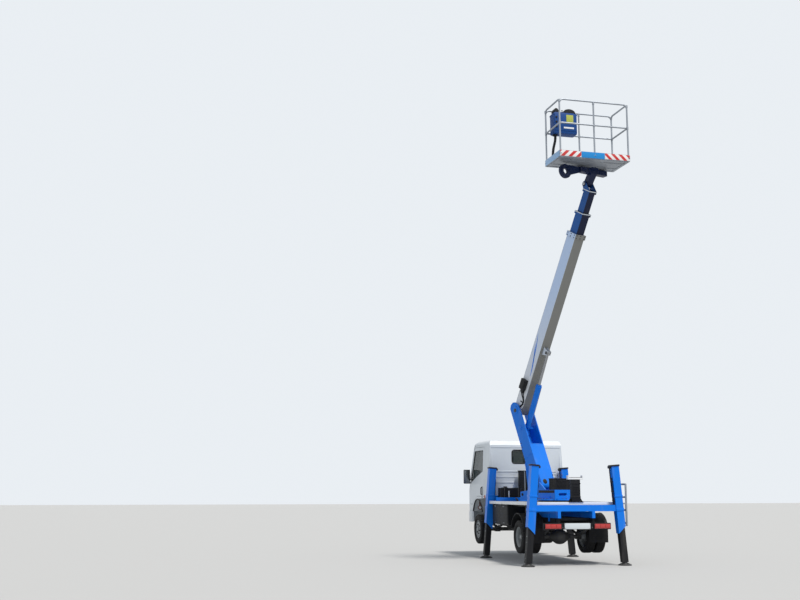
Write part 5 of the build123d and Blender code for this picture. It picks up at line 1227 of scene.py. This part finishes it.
def make_stacks():
    """Two dark upright stacks behind the cab, with a pale seam between them."""
    shape = Shape()
    for name, x, wide in (("left", -0.16, 0.112), ("right", -0.014, 0.098)):
        shape.box((wide, 0.09, 0.585), at(x, 0.94, 1.553), 0.012)
        shape.box((wide + 0.016, 0.106, 0.024), at(x, 0.94, 1.845), 0.006)
        shape.box((wide + 0.02, 0.11, 0.014), at(x, 0.94, 1.267))
        for i in range(9):
            shape.box((wide - 0.024, 0.006, 0.012), at(x, 0.8935, 1.36 + 0.05 * i), 0.003)
        shape.piece(f"stack_{name}", "black_paint", "chassis")
    shape.box((0.02, 0.03, 0.56), at(-0.084, 0.93, 1.541), 0.006)
    shape.piece("stack_seam", "bare_aluminium", "chassis")


def make_deck_fittings():
    """A blue kerb along the deck's front part, an amber fitting below its rear left and the rest's foot."""
    shape = Shape()
    shape.box((0.78, 0.012, 0.08), at(-0.47, 0.545, 1.24))
    for x in (-0.84, -0.6, -0.34, -0.1):
        shape.plate([(0, 0), (0.045, 0), (0.045, 0.008), (0.008, 0.07), (0, 0.07)], 0.008,
            at(x, 0.545, 1.2005) @ facing((0, 0, 0), (1, 0, 0)) @ at(0, 0, -0.004), 0.001)
    shape.piece("deck_kerb", "blue_paint", "chassis")
    shape.box((0.05, 0.02, 0.036), at(-0.42, -1.835, 1.08), 0.006)
    shape.turned([(0, 0.022), (0.008, 0.022), (0.01, 0.016), (0.01, 0)],
        facing((-0.42, -1.845, 1.08), (0, -1, 0)), 24)
    shape.piece("beam_fitting", "head_lamp", "chassis", material=AMBER)
    for dx in (-1, 1):
        place = at(REST[0] + dx * 0.08, REST[1] + 0.004, 1.201) @ UPRIGHT
        if dx < 0:
            place = place @ Matrix.Rotation(pi, 4, "Y") @ at(0, 0, -0.008)
        shape.plate([(0, 0), (0.07, 0), (0.07, 0.01), (0.01, 0.11), (0, 0.11)], 0.008, place, 0.001)
    shape.box((0.3, 0.11, 0.012), at(*REST, 1.207), 0.003)
    for dx in (-1, 1):
        for dy in (-1, 1):
            shape.bolt(at(REST[0] + dx * 0.13, REST[1] + dy * 0.035, 1.213), 0.01)
    shape.piece("rest_foot", "black_paint", "chassis")


def make_ring_teeth():
    """Gear teeth of the slewing ring."""
    shape = Shape()
    teeth = 96
    for k in range(teeth):
        turn = Matrix.Rotation(tau * k / teeth, 4, "Z")
        shape.box((0.014, 0.011, 0.034), at(0, SLEW_Y, 1.183) @ turn @ at(0.334, 0, 0), 0.002)
    shape.piece("ring_teeth", "cast_steel", "chassis")


def make_engine():
    """Sump, pulleys and pipes, then the exhaust."""
    shape = Shape()
    shape.box((0.38, 0.56, 0.1), at(0, 1.7, 0.592), 0.02)
    for x, z, radius in ((0.0, 0.78, 0.085), (-0.14, 0.92, 0.05), (0.14, 0.9, 0.045)):
        place = facing((x, 2.147, z), (0, 1, 0))
        shape.turned([(0, radius), (0.01, radius), (0.016, radius * 0.88), (0.022, radius), (0.032, radius),
            (0.036, radius * 0.5), (0.036, 0)], place, 32)
    for side in (-1, 1):
        for k in range(4):
            y = 1.42 + 0.19 * k
            shape.tube(smooth_line([(side * 0.281, y, 0.96), (side * 0.3, y, 0.93),
                (side * 0.304, y + 0.03, 0.86), (side * 0.3, y + 0.05, 0.8)], 4), 0.014, 8)
    shape.piece("engine_fittings", "cast_steel", "chassis")
    tail_pipe = [(-0.34, 0.002, 0.66), (-0.34, -0.12, 0.655), (-0.3, -0.26, 0.69), (-0.29, -0.42, 0.8),
        (-0.29, -0.6, 0.83)]
    front_pipe = [(-0.34, 0.6, 0.66), (-0.335, 0.7, 0.665), (-0.28, 0.86, 0.7), (-0.24, 1.05, 0.74),
        (-0.22, 1.16, 0.76)]
    for run in (tail_pipe, front_pipe):
        shape.tube(smooth_line(run), EXHAUST_RADIUS, 12)
    band = [(-0.012, 0.0805), (-0.012, 0.084), (0.012, 0.084), (0.012, 0.0805)]
    for y in (0.09, 0.51):
        shape.turned(band, facing((SILENCER[0], y, SILENCER[1]), (0, 1, 0)), 36)
    shape.piece("exhaust_pipes", "cast_steel", "chassis")


def make_spring_clamps():
    """Bows and plates that hold the springs to their axles."""
    shape = Shape()
    for y, z in (FRONT_AXLE, REAR_AXLE):
        for side in (-1, 1):
            for dy in (-0.055, 0.055):
                bow = ((-0.037, -0.055), (-0.037, 0.095), (0.037, 0.095), (0.037, -0.055))
                shape.tube([(side * SPRING_X + dx, y + dy, z + dz) for dx, dz in bow], 0.008, 8)
            shape.box((0.1, 0.15, 0.014), at(side * SPRING_X, y, z - 0.047), 0.003)
    shape.piece("spring_clamps", "cast_steel", "chassis")


# Turntable and booms
def pin_end(shape, point, side, radius, reach=0.006):
    """A pin's end with its keeper plate and bolts, on a face that looks along side."""
    place = facing(point, side, UP)
    shape.turned([(-0.004, 0), (-0.004, radius * 1.5), (reach, radius * 1.5), (reach + 0.002, radius * 1.4),
        (reach + 0.002, radius * 0.95), (reach + 0.008, radius * 0.9), (reach + 0.008, 0)], place, 36)
    for k in range(3):
        a = tau * k / 3 + 0.5
        shape.bolt(place @ at(radius * 1.2 * cos(a), radius * 1.2 * sin(a), reach + 0.001), 0.006, 0.005)


def bead(shape, points, radius=0.004):
    """A weld bead: a thin tube along the points."""
    line = []
    points = [Vector(p) for p in points]
    for a, b in zip(points, points[1:]):
        count = max(2, int((b - a).length / 0.03))
        line += [a + (b - a) * (i / count) for i in range(count)]
    line.append(points[-1])
    shape.tube(line, radius, 6)


def make_turret():
    shape = Shape()
    pivot = lower_at(PIVOT[0], 0, PIVOT[1])
    for side in (-1, 1):
        pin_end(shape, pivot + SIDEWAYS * side * 0.232, SIDEWAYS * side, 0.03, 0.014)
        pin_end(shape, turret_at(LOWER_FOOT[0], side * 0.23, LOWER_FOOT[1]), SIDEWAYS * side, 0.02)
    shape.piece("turret_pins", "black_paint", "turret")
    for k in range(24):
        a = tau * (k + 0.5) / 24
        u, v = 0.322 * cos(a), 0.322 * sin(a)
        if abs(abs(v) - 0.2175) > 0.03 and abs(u - 0.2875) > 0.03:
            shape.bolt(Matrix.Translation(turret_at(u, v, TURRET_FLOOR)), 0.011, 0.01)
    shape.piece("turret_bolts", "cast_steel", "turret")
    # a thin black strip high on each cheek, a dark sheet as painted shadow where the lower boom's foot meets
    # the turret
    for side in (-1, 1):
        shape.box((0.5, 0.052, 0.006), beside(turret_at(0.03, side * 0.231, 1.404), side), 0.0025)
    shape.piece("cheek_painted_shadow", "black_plastic", "turret")
    for side in (-1, 1):
        bead(shape, [turret_at(u, side * 0.2305, z) for u, z in ((-0.8, 1.262), (0.29, 1.262))], 0.005)
        bead(shape, [turret_at(-0.78, side * 0.204, 1.264), turret_at(-0.33, side * 0.204, 1.264)], 0.005)
        for u, high, thick in ((-0.46, 0.15, 0.016), (0.14, 0.06, 0.012)):
            rib = beside(turret_at(u, side * 0.23, 1.262), side)
            shape.plate([(-0.006, 0), (0.006, 0), (0.006, high), (-0.006, high)], thick, rib, 0.002)
    shape.piece("turret_ribs", "blue_paint", "turret")
    # the valve box behind: lid, louvres and levers
    middle = turret_at(0.2, -0.022, 1.44)
    turned = Matrix.Translation(middle) @ Matrix((SIDEWAYS, REARWARD * -1, UP)).transposed().to_4x4()
    shape.box((0.4, 0.214, 0.016), turned @ at(0, 0, 0.222), 0.005)
    for i in range(6):
        shape.box((0.3, 0.006, 0.01), turned @ at(0, -0.1025, 0.05 + 0.024 * i), 0.002)
    for dx in (-0.194, 0.194):
        for i in range(4):
            shape.box((0.006, 0.13, 0.008), turned @ at(dx, 0, 0.06 + 0.03 * i), 0.002)
    for dx in (-0.14, 0.14):
        shape.box((0.04, 0.01, 0.024), turned @ at(dx, -0.103, 0.206), 0.003)
    shape.piece("valve_box_lid", "black_paint", "turret")
    for i in range(5):
        base = turned @ Vector((-0.12 + 0.06 * i, 0.07, 0.228))
        shape.tube([base, base + UP * 0.06 + REARWARD * 0.006], 0.004, 8)
        shape.turned([(0, 0.004), (0.004, 0.01), (0.014, 0.012), (0.022, 0.009), (0.026, 0.003), (0.026, 0)],
            Matrix.Translation(base + UP * 0.056 + REARWARD * 0.006), 14)
    shape.piece("valve_levers", "cast_steel", "turret")
    # hydraulic lines up from the deck's middle to the lower boom
    for i, v in enumerate((-0.05, -0.018, 0.014, 0.046)):
        line = smooth_line([turret_at(0.1, v, 1.262), turret_at(0.09, v, 1.33),
            turret_at(0.04, v * 1.2, 1.42), turret_at(-0.01 - 0.004 * i, v * 1.2, 1.455)], 5)
        shape.tube(line, 0.01, 8)
    shape.piece("turret_lines", "black_plastic", "turret")


# Bosses on the lower boom's sides: (place along it, height, profile, steps)
LOWER_BOSSES = (
    (*PIVOT, [(-0.002, 0.034), (-0.002, 0.076), (0.01, 0.076), (0.013, 0.07), (0.013, 0.036)], 40),
    (LOWER[2], 0, [(-0.002, 0.034), (-0.002, 0.088), (0.005, 0.088), (0.007, 0.082), (0.007, 0.036)], 40),
    (UPPER_FOOT, 0, [(-0.002, 0), (-0.002, 0.052), (0.007, 0.052), (0.009, 0.046), (0.009, 0.022),
                     (0.013, 0.02), (0.013, 0)], 36),
)


def make_lower_boom():
    shape = Shape()
    for side in (-1, 1):
        for t in (-0.146, 0.146):
            bead(shape, [lower_at(0.08, side * 0.1805, t), lower_at(1.5, side * 0.1805, t)], 0.0035)
        for s, t, profile, steps in LOWER_BOSSES:
            shape.turned(profile, beside(lower_at(s, side * 0.18, t), side), steps)
        for s in (0.3, 0.62):
            shape.box((0.006, 0.22, 0.012), along_lower(s, side * 0.182, 0), 0.002)
    bead(shape, [lower_at(0.832, -0.15, 0.1505), lower_at(0.832, 0.15, 0.1505)], 0.005)
    shape.piece("lower_boom_welds", "blue_paint", "lower_boom")
    for s in (0.87, 0.96):
        for side in (-1, 1):
            shape.bolt(facing(lower_at(s, side * 0.18, -0.12), SIDEWAYS * side, LOWER_ALONG), 0.009, 0.007)
    shape.piece("lower_boom_bolts", "cast_steel", "lower_boom")
    # a round dark inspection cap low on the rear face
    cap = facing(lower_at(-0.025, -0.078, 0.15), LOWER_ACROSS, LOWER_ALONG)
    shape.turned([(-0.002, 0), (-0.002, 0.052), (0.005, 0.052), (0.008, 0.046), (0.008, 0.03),
        (0.012, 0.026), (0.012, 0)], cap, 36)
    shape.piece("lower_boom_cap", "black_plastic", "lower_boom")
    # lines clipped to the right face
    for i in range(3):
        t = 0.06 + 0.026 * i
        line = [lower_at(0.16, 0.17, t), lower_at(0.19, 0.192, t), lower_at(0.6, 0.192, t),
            lower_at(1.1, 0.192, t), lower_at(1.46, 0.192, t - 0.01), lower_at(1.5, 0.185, t - 0.012)]
        shape.tube(smooth_line(line, 5), 0.009, 8)
    for s in (0.3, 0.66, 1.02, 1.38):
        shape.box((0.018, 0.09, 0.024), along_lower(s, 0.188, 0.086))
    shape.piece("lower_boom_lines", "black_plastic", "lower_boom")


def collar_bolts(shape, s, half, span, shares, bolt):
    """Bolts on a collar's four faces: half are its half sizes, shares the places over its span."""
    for side in (-1, 1):
        for share in shares:
            beside_it = upper_at(s, side * half[0], share * span[1])
            over_it = upper_at(s, share * span[0], side * half[1])
            shape.bolt(facing(beside_it, SIDEWAYS * side, UPPER_ALONG), *bolt)
            shape.bolt(facing(over_it, UPPER_ACROSS * side, UPPER_ALONG), *bolt)


def collar_strips(shape, place, long, thick, wide, bevel=0.004):
    """A strip on each of the four faces: the place says how far along, across and up they lie."""
    s, v, t = place
    for side in (-1, 1):
        shape.box((long[0], thick[1], wide), along_upper(s, 0, side * t), bevel)
        shape.box((thick[0], long[1], wide), along_upper(s, side * v, 0), bevel)


# The two blue strokes on the boom's sides: start, end, height at start and end, half the widest width
STROKES = ((0.82, 1.52, -0.06, 0.085, 0.016), (1.1, 1.75, -0.01, 0.1, 0.01))
STROKE_STEPS = 24


def make_upper_boom():
    shape = Shape()
    length, width, depth = UPPER[1:]
    left = -width / 2
    for side in (-1, 1):
        for t in (-depth / 2 + 0.004, depth / 2 - 0.004):
            bead(shape, [upper_at(0.22, side * (width / 2 + 0.0005), t),
                upper_at(length - 0.1, side * (width / 2 + 0.0005), t)], 0.0035)
    shape.piece("upper_boom_welds", "white_paint", "upper_boom")
    wide, deep = width + 0.036, depth + 0.036
    for s in (length - 0.078, length - 0.026):
        collar_bolts(shape, s, (wide / 2, deep / 2), (wide, deep), (-0.36, 0, 0.36), (0.01, 0.009))
    for side in (-1, 1):
        place = beside(upper_at(0, side * 0.192, 0), side)
        shape.turned([(-0.004, 0.018), (-0.004, 0.04), (0.002, 0.04), (0.004, 0.036), (0.004, 0)], place, 30)
        place = beside(upper_at(UPPER_EYE[0], side * 0.048, UPPER_EYE[1]), side)
        shape.turned([(0, 0), (0, 0.034), (0.006, 0.034), (0.008, 0.028), (0.008, 0)], place, 28)
    shape.piece("upper_boom_bolts", "cast_steel", "upper_boom")
    collar_strips(shape, (length - 0.0075, 0.112, 0.13), (0.15, 0.15), (0.018, 0.03), 0.016)
    shape.piece("slide_pads_1", "black_plastic", "upper_boom")
    # the painted strokes on both sides
    for name, side in SIDES:
        for start, end, low, high, widest in STROKES:
            part = bmesh.new()
            rows = []
            for i in range(STROKE_STEPS + 1):
                share = i / STROKE_STEPS
                s = start + (end - start) * share
                t = low + (high - low) * share ** 1.7
                half = widest * sin(pi * min(1, share * 1.02)) ** 0.7 + 0.0008
                rows.append([part.verts.new(upper_at(s, side * (width / 2 + 0.0009), t + sign * half))
                    for sign in (1, -1)])
            for (a, b), (c, d) in zip(rows, rows[1:]):
                part.faces.new((a, c, d, b))
            bmesh.ops.recalc_face_normals(part, faces=part.faces)
            bmesh.ops.solidify(part, geom=part.faces[:], thickness=0.0006)
            shape.join(part, Matrix())
        shape.piece(f"boom_stripe_{name}", "blue_paint", "upper_boom")
    # black junction box on the left face, and its two lines down to the knee
    for size, s, out, t, bevel in (((0.075, 0.17, 0.23), 0.6, 0.0375, 0.03, 0.012),
            ((0.012, 0.13, 0.17), 0.62, 0.08, 0.03, 0.005), ((0.05, 0.09, 0.06), 0.455, 0.024, 0.01, 0.008)):
        shape.box(size, along_upper(s, left - out, t), bevel)
    for dt in (-0.03, 0.03):
        place = facing(upper_at(0.425, left - 0.014, 0.01 + dt), UPPER_ALONG * -1, SIDEWAYS)
        shape.turned([(0, 0.016), (0.012, 0.016), (0.014, 0.012), (0.03, 0.011), (0.03, 0)], place, 16)
    shape.piece("junction_box", "black_plastic", "upper_boom")
    run = ((0.4, 0.01, 1.0), (0.35, -0.03, 0.8), (0.285, -0.092, 0.4), (0.215, -0.104, 0.3),
        (0.13, -0.06, 0.4), (0.06, -0.01, 0.5))
    for dt in (-0.03, 0.03):
        line = [upper_at(s, left - 0.012, t + dt * share) for s, t, share in run]
        shape.tube(smooth_line(line), 0.009, 8)
    shape.box((0.016, 0.08, 0.02), along_upper(0.23, left - 0.008, -0.045), 0.003)
    shape.piece("junction_lines", "black_plastic", "upper_boom")
    for s in (1.0, 2.0, 3.0, 3.8):
        shape.box((0.1, 0.012, 0.026), along_upper(s, -0.02, depth / 2 + 0.004), 0.003)
    for dv in (-0.03, 0.0, 0.03):
        shape.tube([upper_at(s, -0.02 + dv, depth / 2 + 0.011) for s in (0.2, 1.0, 2.0, 3.0, length - 0.12)],
            0.008, 8)
    shape.piece("boom_top_lines", "black_plastic", "upper_boom")


def make_extensions():
    shape = Shape()
    length = UPPER[1]
    rows = (("extension_1", length + EXTENSION_OUT[0], 0.19, 0.225, 0.154, 0.185),
        ("extension_2", length + sum(EXTENSION_OUT), 0.154, 0.185, None, None))
    for name, end, width, depth, next_width, next_depth in rows:
        collar_bolts(shape, end - 0.03, (width / 2 + 0.018, depth / 2 + 0.018), (width, depth), (-0.3, 0.3),
            (0.008, 0.007))
        shape.piece(f"collar_bolts_{name}", "cast_steel", name)
        collar_strips(shape, (end - 0.012, width / 2 + 0.0185, depth / 2 + 0.0185),
            (width + 0.044, depth + 0.044), (0.008, 0.008), 0.018, 0.002)
        shape.piece(f"collar_band_{name}", "white_paint", name)
        if next_width:
            collar_strips(shape, (end + 0.003, next_width / 2 + 0.01, next_depth / 2 + 0.01),
                (next_width * 0.8, next_depth * 0.7), (0.014, 0.014), 0.012, 0.003)
            shape.piece(f"slide_pads_{name}", "black_plastic", name)
    head = upper_at(length + sum(EXTENSION_OUT) + 0.09, 0, 0.12)
    for side in (-1, 1):
        place = beside(head + SIDEWAYS * side * 0.0955, side)
        shape.turned([(-0.001, 0.031), (-0.001, 0.05), (0.006, 0.05), (0.008, 0.046), (0.008, 0.031)], place,
            32)
    shape.piece("head_bosses", "navy_paint", "extension_2")
    for side in (-1, 1):
        place = beside(head + SIDEWAYS * side * 0.107, side)
        shape.turned([(-0.003, 0), (-0.003, 0.029), (0.0, 0.029), (0.002, 0.026), (0.002, 0.01), (0, 0.008),
            (0, 0)], place, 28)
    shape.piece("head_pin_ends", "chromed_rod", "levelling_pin")


def make_cylinders():
    shape = Shape()
    ends = (("lower", lower_at(LOWER_EYE[0], 0, LOWER_EYE[1]), turret_at(LOWER_FOOT[0], 0, LOWER_FOOT[1])),
        ("upper", upper_at(UPPER_EYE[0], 0, UPPER_EYE[1]), lower_at(UPPER_FOOT, 0, 0)))
    for name, rod_eye, barrel_eye in ends:
        radius, length = BARRELS[name]
        place = facing(barrel_eye, (rod_eye - barrel_eye).normalized(), SIDEWAYS)
        gland = BARREL_START + length
        for z in (BARREL_START + 0.02, gland - 0.045):
            shape.turned([(z - 0.018, radius + 0.0005), (z - 0.016, radius + 0.007),
                (z + 0.016, radius + 0.007), (z + 0.018, radius + 0.0005)], place, 40)
        shape.turned([(gland - 0.001, radius * 0.98), (gland + 0.004, radius * 0.94),
            (gland + 0.005, radius * 0.62), (gland - 0.001, radius * 0.6)], place, 40)
        shape.piece(f"{name}_barrel_bands", "blue_paint", f"{name}_barrel")
        run = [(0.01, gland - 0.06), (0.018, gland - 0.09), (0.018, BARREL_START + length * 0.5),
            (0.018, BARREL_START + 0.1), (0.006, BARREL_START + 0.05)]
        shape.tube(smooth_line([place @ Vector((0, radius + out, z)) for out, z in run], 5), 0.006, 8)
        shape.piece(f"{name}_barrel_pipe", "black_plastic", f"{name}_barrel")


# Basket and its carrier
STRIPE_RED = (0.55, 0.012, 0.01)


def in_basket(x, y, z):
    return BASKET_PLACE @ Vector((x, y, z))


def basket_at(x, y, z):
    """A place in the basket's own axes."""
    return BASKET_PLACE @ at(x, y, z)


def striped(name, lean, width=0.16):
    """White sheet with slanting red stripes, in the basket's own axes."""
    shade = Shader(name, (0.8, 0.8, 0.79), 0.4, Coat_Weight=0.2)
    split = shade.node("ShaderNodeSeparateXYZ")
    shade.link(shade.place, split.inputs[0])
    slant = shade.times(split.outputs["X"], shade.times(split.outputs["Z"], lean), "SUBTRACT")
    sine = shade.node("ShaderNodeMath", operation="SINE")
    shade.link(shade.times(slant, tau / width), sine.inputs[0])
    shade.over(shade.ramp(sine.outputs[0], -0.04, 0.04), STRIPE_RED)
    shade.over(shade.ramp(shade.noise(0.05, 6), 0.55, 0.8, 0, 0.35), DUST)
    shade.rougher(shade.noise(0.1, 4), 0.35, 0.6)
    return shade.material


def make_basket_floor():
    """Thin sheets over the toe boards, tread bars on the floor and channels below it."""
    shape = Shape()
    for name, side, x0, x1, lean in (("near_left", -1, -0.745, -0.3, 1.0),
            ("near_right", -1, 0.21, 0.745, -1.0), ("far_left", 1, -0.745, -0.21, -1.0),
            ("far_right", 1, 0.3, 0.745, 1.0)):
        shape.box((x1 - x0, 0.003, TOE - 0.014), basket_at((x0 + x1) / 2, side * (BASKET_DEPTH / 2 + 0.001),
            TOE / 2 + 0.002), 0.001)
        shape.piece(f"stripes_{name}", "bare_aluminium", "basket", material=striped(f"stripes_{name}", lean))
    shape.box((0.49, 0.004, TOE - 0.006), basket_at(-0.045, -BASKET_DEPTH / 2 - 0.0015, TOE / 2 + 0.001),
        0.0015)
    shape.piece("near_plate", "blue_paint", "basket", material=PLATE_BLUE)
    shape.box((0.004, BASKET_DEPTH - 0.02, TOE - 0.01),
        basket_at(-BASKET_LENGTH / 2 - 0.0015, 0, TOE / 2 + 0.001), 0.0015)
    shape.piece("side_plate", "bare_aluminium", "basket", material=PALE_BLUE)
    for i in range(44):
        x = -0.71 + 1.42 * i / 43
        shape.box((0.006, BASKET_DEPTH - 0.05, 0.003), basket_at(x, 0, 0.061), 0.001)
    for y in (-0.3, -0.15, 0.0, 0.15, 0.3):
        shape.box((BASKET_LENGTH - 0.05, 0.006, 0.003), basket_at(0, y, 0.0612), 0.001)
    shape.piece("floor_treads", "bare_aluminium", "basket")
    for y in (-0.34, -0.17, 0.17, 0.34):
        shape.box((BASKET_LENGTH - 0.03, 0.04, 0.01), basket_at(0, y, -0.004), 0.003)
    for x in (-0.7, -0.42, 0.7):
        shape.box((0.04, BASKET_DEPTH - 0.03, 0.008), basket_at(x, 0, -0.0035), 0.003)
    shape.piece("floor_channels", "bare_aluminium", "basket")


def make_rails():
    """Hoops on the long sides, end rails between them, middle rails, and fittings at the joints."""
    shape = Shape()
    for x in (-RAIL_X, 0.0, RAIL_X):
        for y in (-RAIL_Y, RAIL_Y):
            for z, half in ((RAIL_MIDDLE, 0.034), (RAIL_TOP - 0.033, 0.026)):
                place = basket_at(x, y, z)
                shape.turned([(-half, 0.0172), (-half, 0.0215), (half, 0.0215), (half, 0.0172)], place, 20)
            for z in (0.085, 0.115):
                shape.bolt(facing(in_basket(x, copysign(BASKET_DEPTH / 2 + 0.001, y), z - 0.005), BASKET_TURN
                    @ Vector((0, copysign(1, y), 0))), 0.006, 0.005)
            shape.turned([(0.06, 0.0172), (0.06, 0.034), (0.066, 0.034), (0.068, 0.03), (0.068, 0.0172)],
                basket_at(x, y, 0), 24)
    shape.piece("rail_fittings", "bare_aluminium", "basket")
    top, middle, bend = RAIL_TOP, RAIL_MIDDLE, 0.085
    for y in (-RAIL_Y, RAIL_Y):
        hoop = [in_basket(-RAIL_X, y, 0.06), in_basket(-RAIL_X, y, middle)]
        hoop += [in_basket(-RAIL_X + bend - bend * cos(a), y, top - bend + bend * sin(a))
            for a in (pi / 16 * i for i in range(9))]
        hoop += [in_basket(RAIL_X - bend + bend * sin(a), y, top - bend + bend * cos(a))
            for a in (pi / 16 * i for i in range(9))]
        shape.tube(hoop + [in_basket(RAIL_X, y, middle), in_basket(RAIL_X, y, 0.06)], RAIL_RADIUS, 14)
        shape.tube([in_basket(0, y, 0.06), in_basket(0, y, top)], RAIL_RADIUS, 14)
    loop = [in_basket(x, y, middle) for x, y in rounded(RAIL_X, RAIL_Y, 0.05)]
    shape.tube(closed(loop), RAIL_RADIUS, 14, caps=False)
    for x in (-RAIL_X, RAIL_X):
        rise = 0.03
        shape.tube([in_basket(x, -RAIL_Y, top - bend), in_basket(x, -0.342, top - rise),
            in_basket(x, -0.3, top), in_basket(x, 0.3, top), in_basket(x, 0.342, top - rise),
            in_basket(x, RAIL_Y, top - bend)], RAIL_RADIUS, 14)
    shape.piece("rail_tubes", "bare_aluminium", "basket", replaces=["basket_rails"])


def make_console():
    """A case with its lid, two hoods and four levers above, knobs on its face and a duct below."""
    shape = Shape()
    centre_x, centre_y = CONSOLE
    for size, dy, z, bevel in (((0.505, 0.226, 0.44), 0, 0.862, 0.028),
            ((0.47, 0.012, 0.36), -0.1135, 0.88, 0.006), ((0.43, 0.15, 0.026), 0, 1.09, 0.012),
            ((0.514, 0.234, 0.022), 0, 1.05, 0.008)):
        shape.box(size, basket_at(centre_x, centre_y + dy, z), bevel)
    shape.piece("console_case", "blue_plastic", "basket", replaces=["basket_console"])
    for x, wide in ((centre_x - 0.175, 0.115), (centre_x + 0.11, 0.26)):
        hood = [(-wide / 2, 0), (wide / 2, 0)]
        hood += [(wide / 2 * cos(a), 0.01 + 0.078 * sin(a)) for a in (pi / 10 * i for i in range(11))]
        place = basket_at(x, centre_y + 0.07, 1.101) @ UPRIGHT
        shape.plate(hood, 0.14, place, 0.008)
    for i in range(4):
        base = basket_at(centre_x - 0.12 + 0.07 * i, centre_y - 0.06, 1.099)
        shape.turned([(0, 0.018), (0.006, 0.018), (0.012, 0.008), (0.034, 0.006), (0.04, 0.012),
            (0.05, 0.012), (0.054, 0.006), (0.054, 0)], base, 18)
    for i in range(3):
        shape.turned([(0, 0.02), (0.01, 0.02), (0.014, 0.015), (0.014, 0)],
            facing(in_basket(centre_x - 0.2, centre_y - 0.119, 0.78 + 0.1 * i), BASKET_TURN
            @ Vector((0, -1, 0))), 22)
    duct = ((-0.185, 0, 0.65), (-0.19, 0, 0.52), (-0.21, 0.06, 0.34), (-0.215, 0.1, 0.1))
    shape.tube(smooth_line([in_basket(centre_x + x, centre_y + y, z) for x, y, z in duct]), 0.026, 12)
    shape.box((0.09, 0.06, 0.045), basket_at(centre_x - 0.19, centre_y, 0.63), 0.008)
    shape.piece("console_controls", "black_plastic", "basket")
    for name, x, z, wide, tall, finish in (("square", -0.31, 0.955, 0.15, 0.17, YELLOW_PLATE),
            ("strip", -0.335, 0.765, 0.22, 0.035, EDGE_WHITE)):
        shape.box((wide, 0.004, tall), basket_at(x, centre_y - 0.1215, z), 0.0015)
        shape.piece(f"console_plate_{name}", "blue_plastic", "basket", material=finish)


def make_carrier():
    """Ribs and strips on the beam, and bosses with their bolts at its pivot."""
    shape = Shape()
    beam_top = BASKET_FLOOR_Z - 0.024
    turned = Matrix((SIDEWAYS, REARWARD * -1, UP)).transposed().to_4x4()
    centre = Matrix.Translation(turret_at(BASKET_OUT, 0, beam_top - 0.0525)) @ turned
    for dy in (-1, 1):
        for dx in (-0.3, -0.15, 0.15, 0.3):
            shape.box((0.01, 0.008, 0.098), centre @ at(dx, dy * 0.0625, 0), 0.002)
        for z in (-0.0445, 0.0445):
            shape.box((0.68, 0.006, 0.014), centre @ at(0, dy * 0.0625, z), 0.002)
    for side in (-1, 1):
        shape.box((0.008, 0.118, 0.103), centre @ at(side * 0.343, 0, 0), 0.003)
    boss_z = beam_top - 0.145
    boss = turret_at(BASKET_OUT, -0.72, boss_z)
    for side in (-1, 1):
        place = facing(boss + REARWARD * side * 0.02, REARWARD * side, UP)
        shape.turned([(0, 0.056), (0, 0.1), (0.008, 0.1), (0.011, 0.094), (0.011, 0.056)], place, 48)
        for k in range(6):
            a = tau * k / 6
            shape.bolt(place @ at(0.12 * cos(a), 0.12 * sin(a), 0.0), 0.008, 0.007)
    shape.piece("carrier_ribs", "navy_paint", "basket_carrier")


# Boom sections: a darker colour all round as painted shade, and lighter lit colours on their sides low down
# and high up; the upper boom's sky blue high up is a painted sky reflection
LIT_PALE_SIDE = (0.72, 0.75, 0.79)
SKY_REFLECTION_SIDE = (0.54, 0.68, 0.92)
SHADED_NAVY = (0.003, 0.008, 0.04)
LIT_SIDE_1 = (0.005, 0.09, 0.35)
LIT_SIDE_2 = (0.006, 0.085, 0.32)
BOOM_PAINT_AND_SHADE = {
    # the upper boom: dark grey all round as painted shade, pale lit sides, and sky blue high up as a painted
    # sky reflection
    "upper_boom": paint_with_lit_sides("boom_grey_painted_shade", (0.25, 0.25, 0.235), LIT_PALE_SIDE, SKY_REFLECTION_SIDE, 3.6, 5.6),
    # the extensions: lit blue on their sides, and deep navy on their other faces as painted shade
    "extension_1": paint_with_lit_sides("extension_1_painted_shade", SHADED_NAVY, LIT_SIDE_1, LIT_SIDE_1, 0, 1),
    "extension_2": paint_with_lit_sides("extension_2_painted_shade", SHADED_NAVY, LIT_SIDE_2, LIT_SIDE_2, 0, 1),
}

make_camera()
make_light()
make_floor()
for node, slot_name in SLOT_OF.items():
    NODES[node].data.materials.clear()
    NODES[node].data.materials.append(BOOM_PAINT_AND_SHADE.get(node) or MATERIALS[slot_name])

make_wheels()
make_cab_sides()
make_cab_rear()
make_windscreen()
make_cab_front()
make_cab_lamps()
make_mirrors()
make_seats()
make_cab_inside()
make_legs()
make_deck()
make_frame_fittings()
make_side_boxes()
make_mudflaps()
make_rear()
make_ladder_treads()
make_tank_fittings()
make_boom_rest()
make_stacks()
make_deck_fittings()
make_ring_teeth()
make_engine()
make_spring_clamps()
make_turret()
make_lower_boom()
make_upper_boom()
make_extensions()
make_cylinders()
make_basket_floor()
make_rails()
make_console()
make_carrier()

bpy.context.scene.view_settings.view_transform = "Standard"
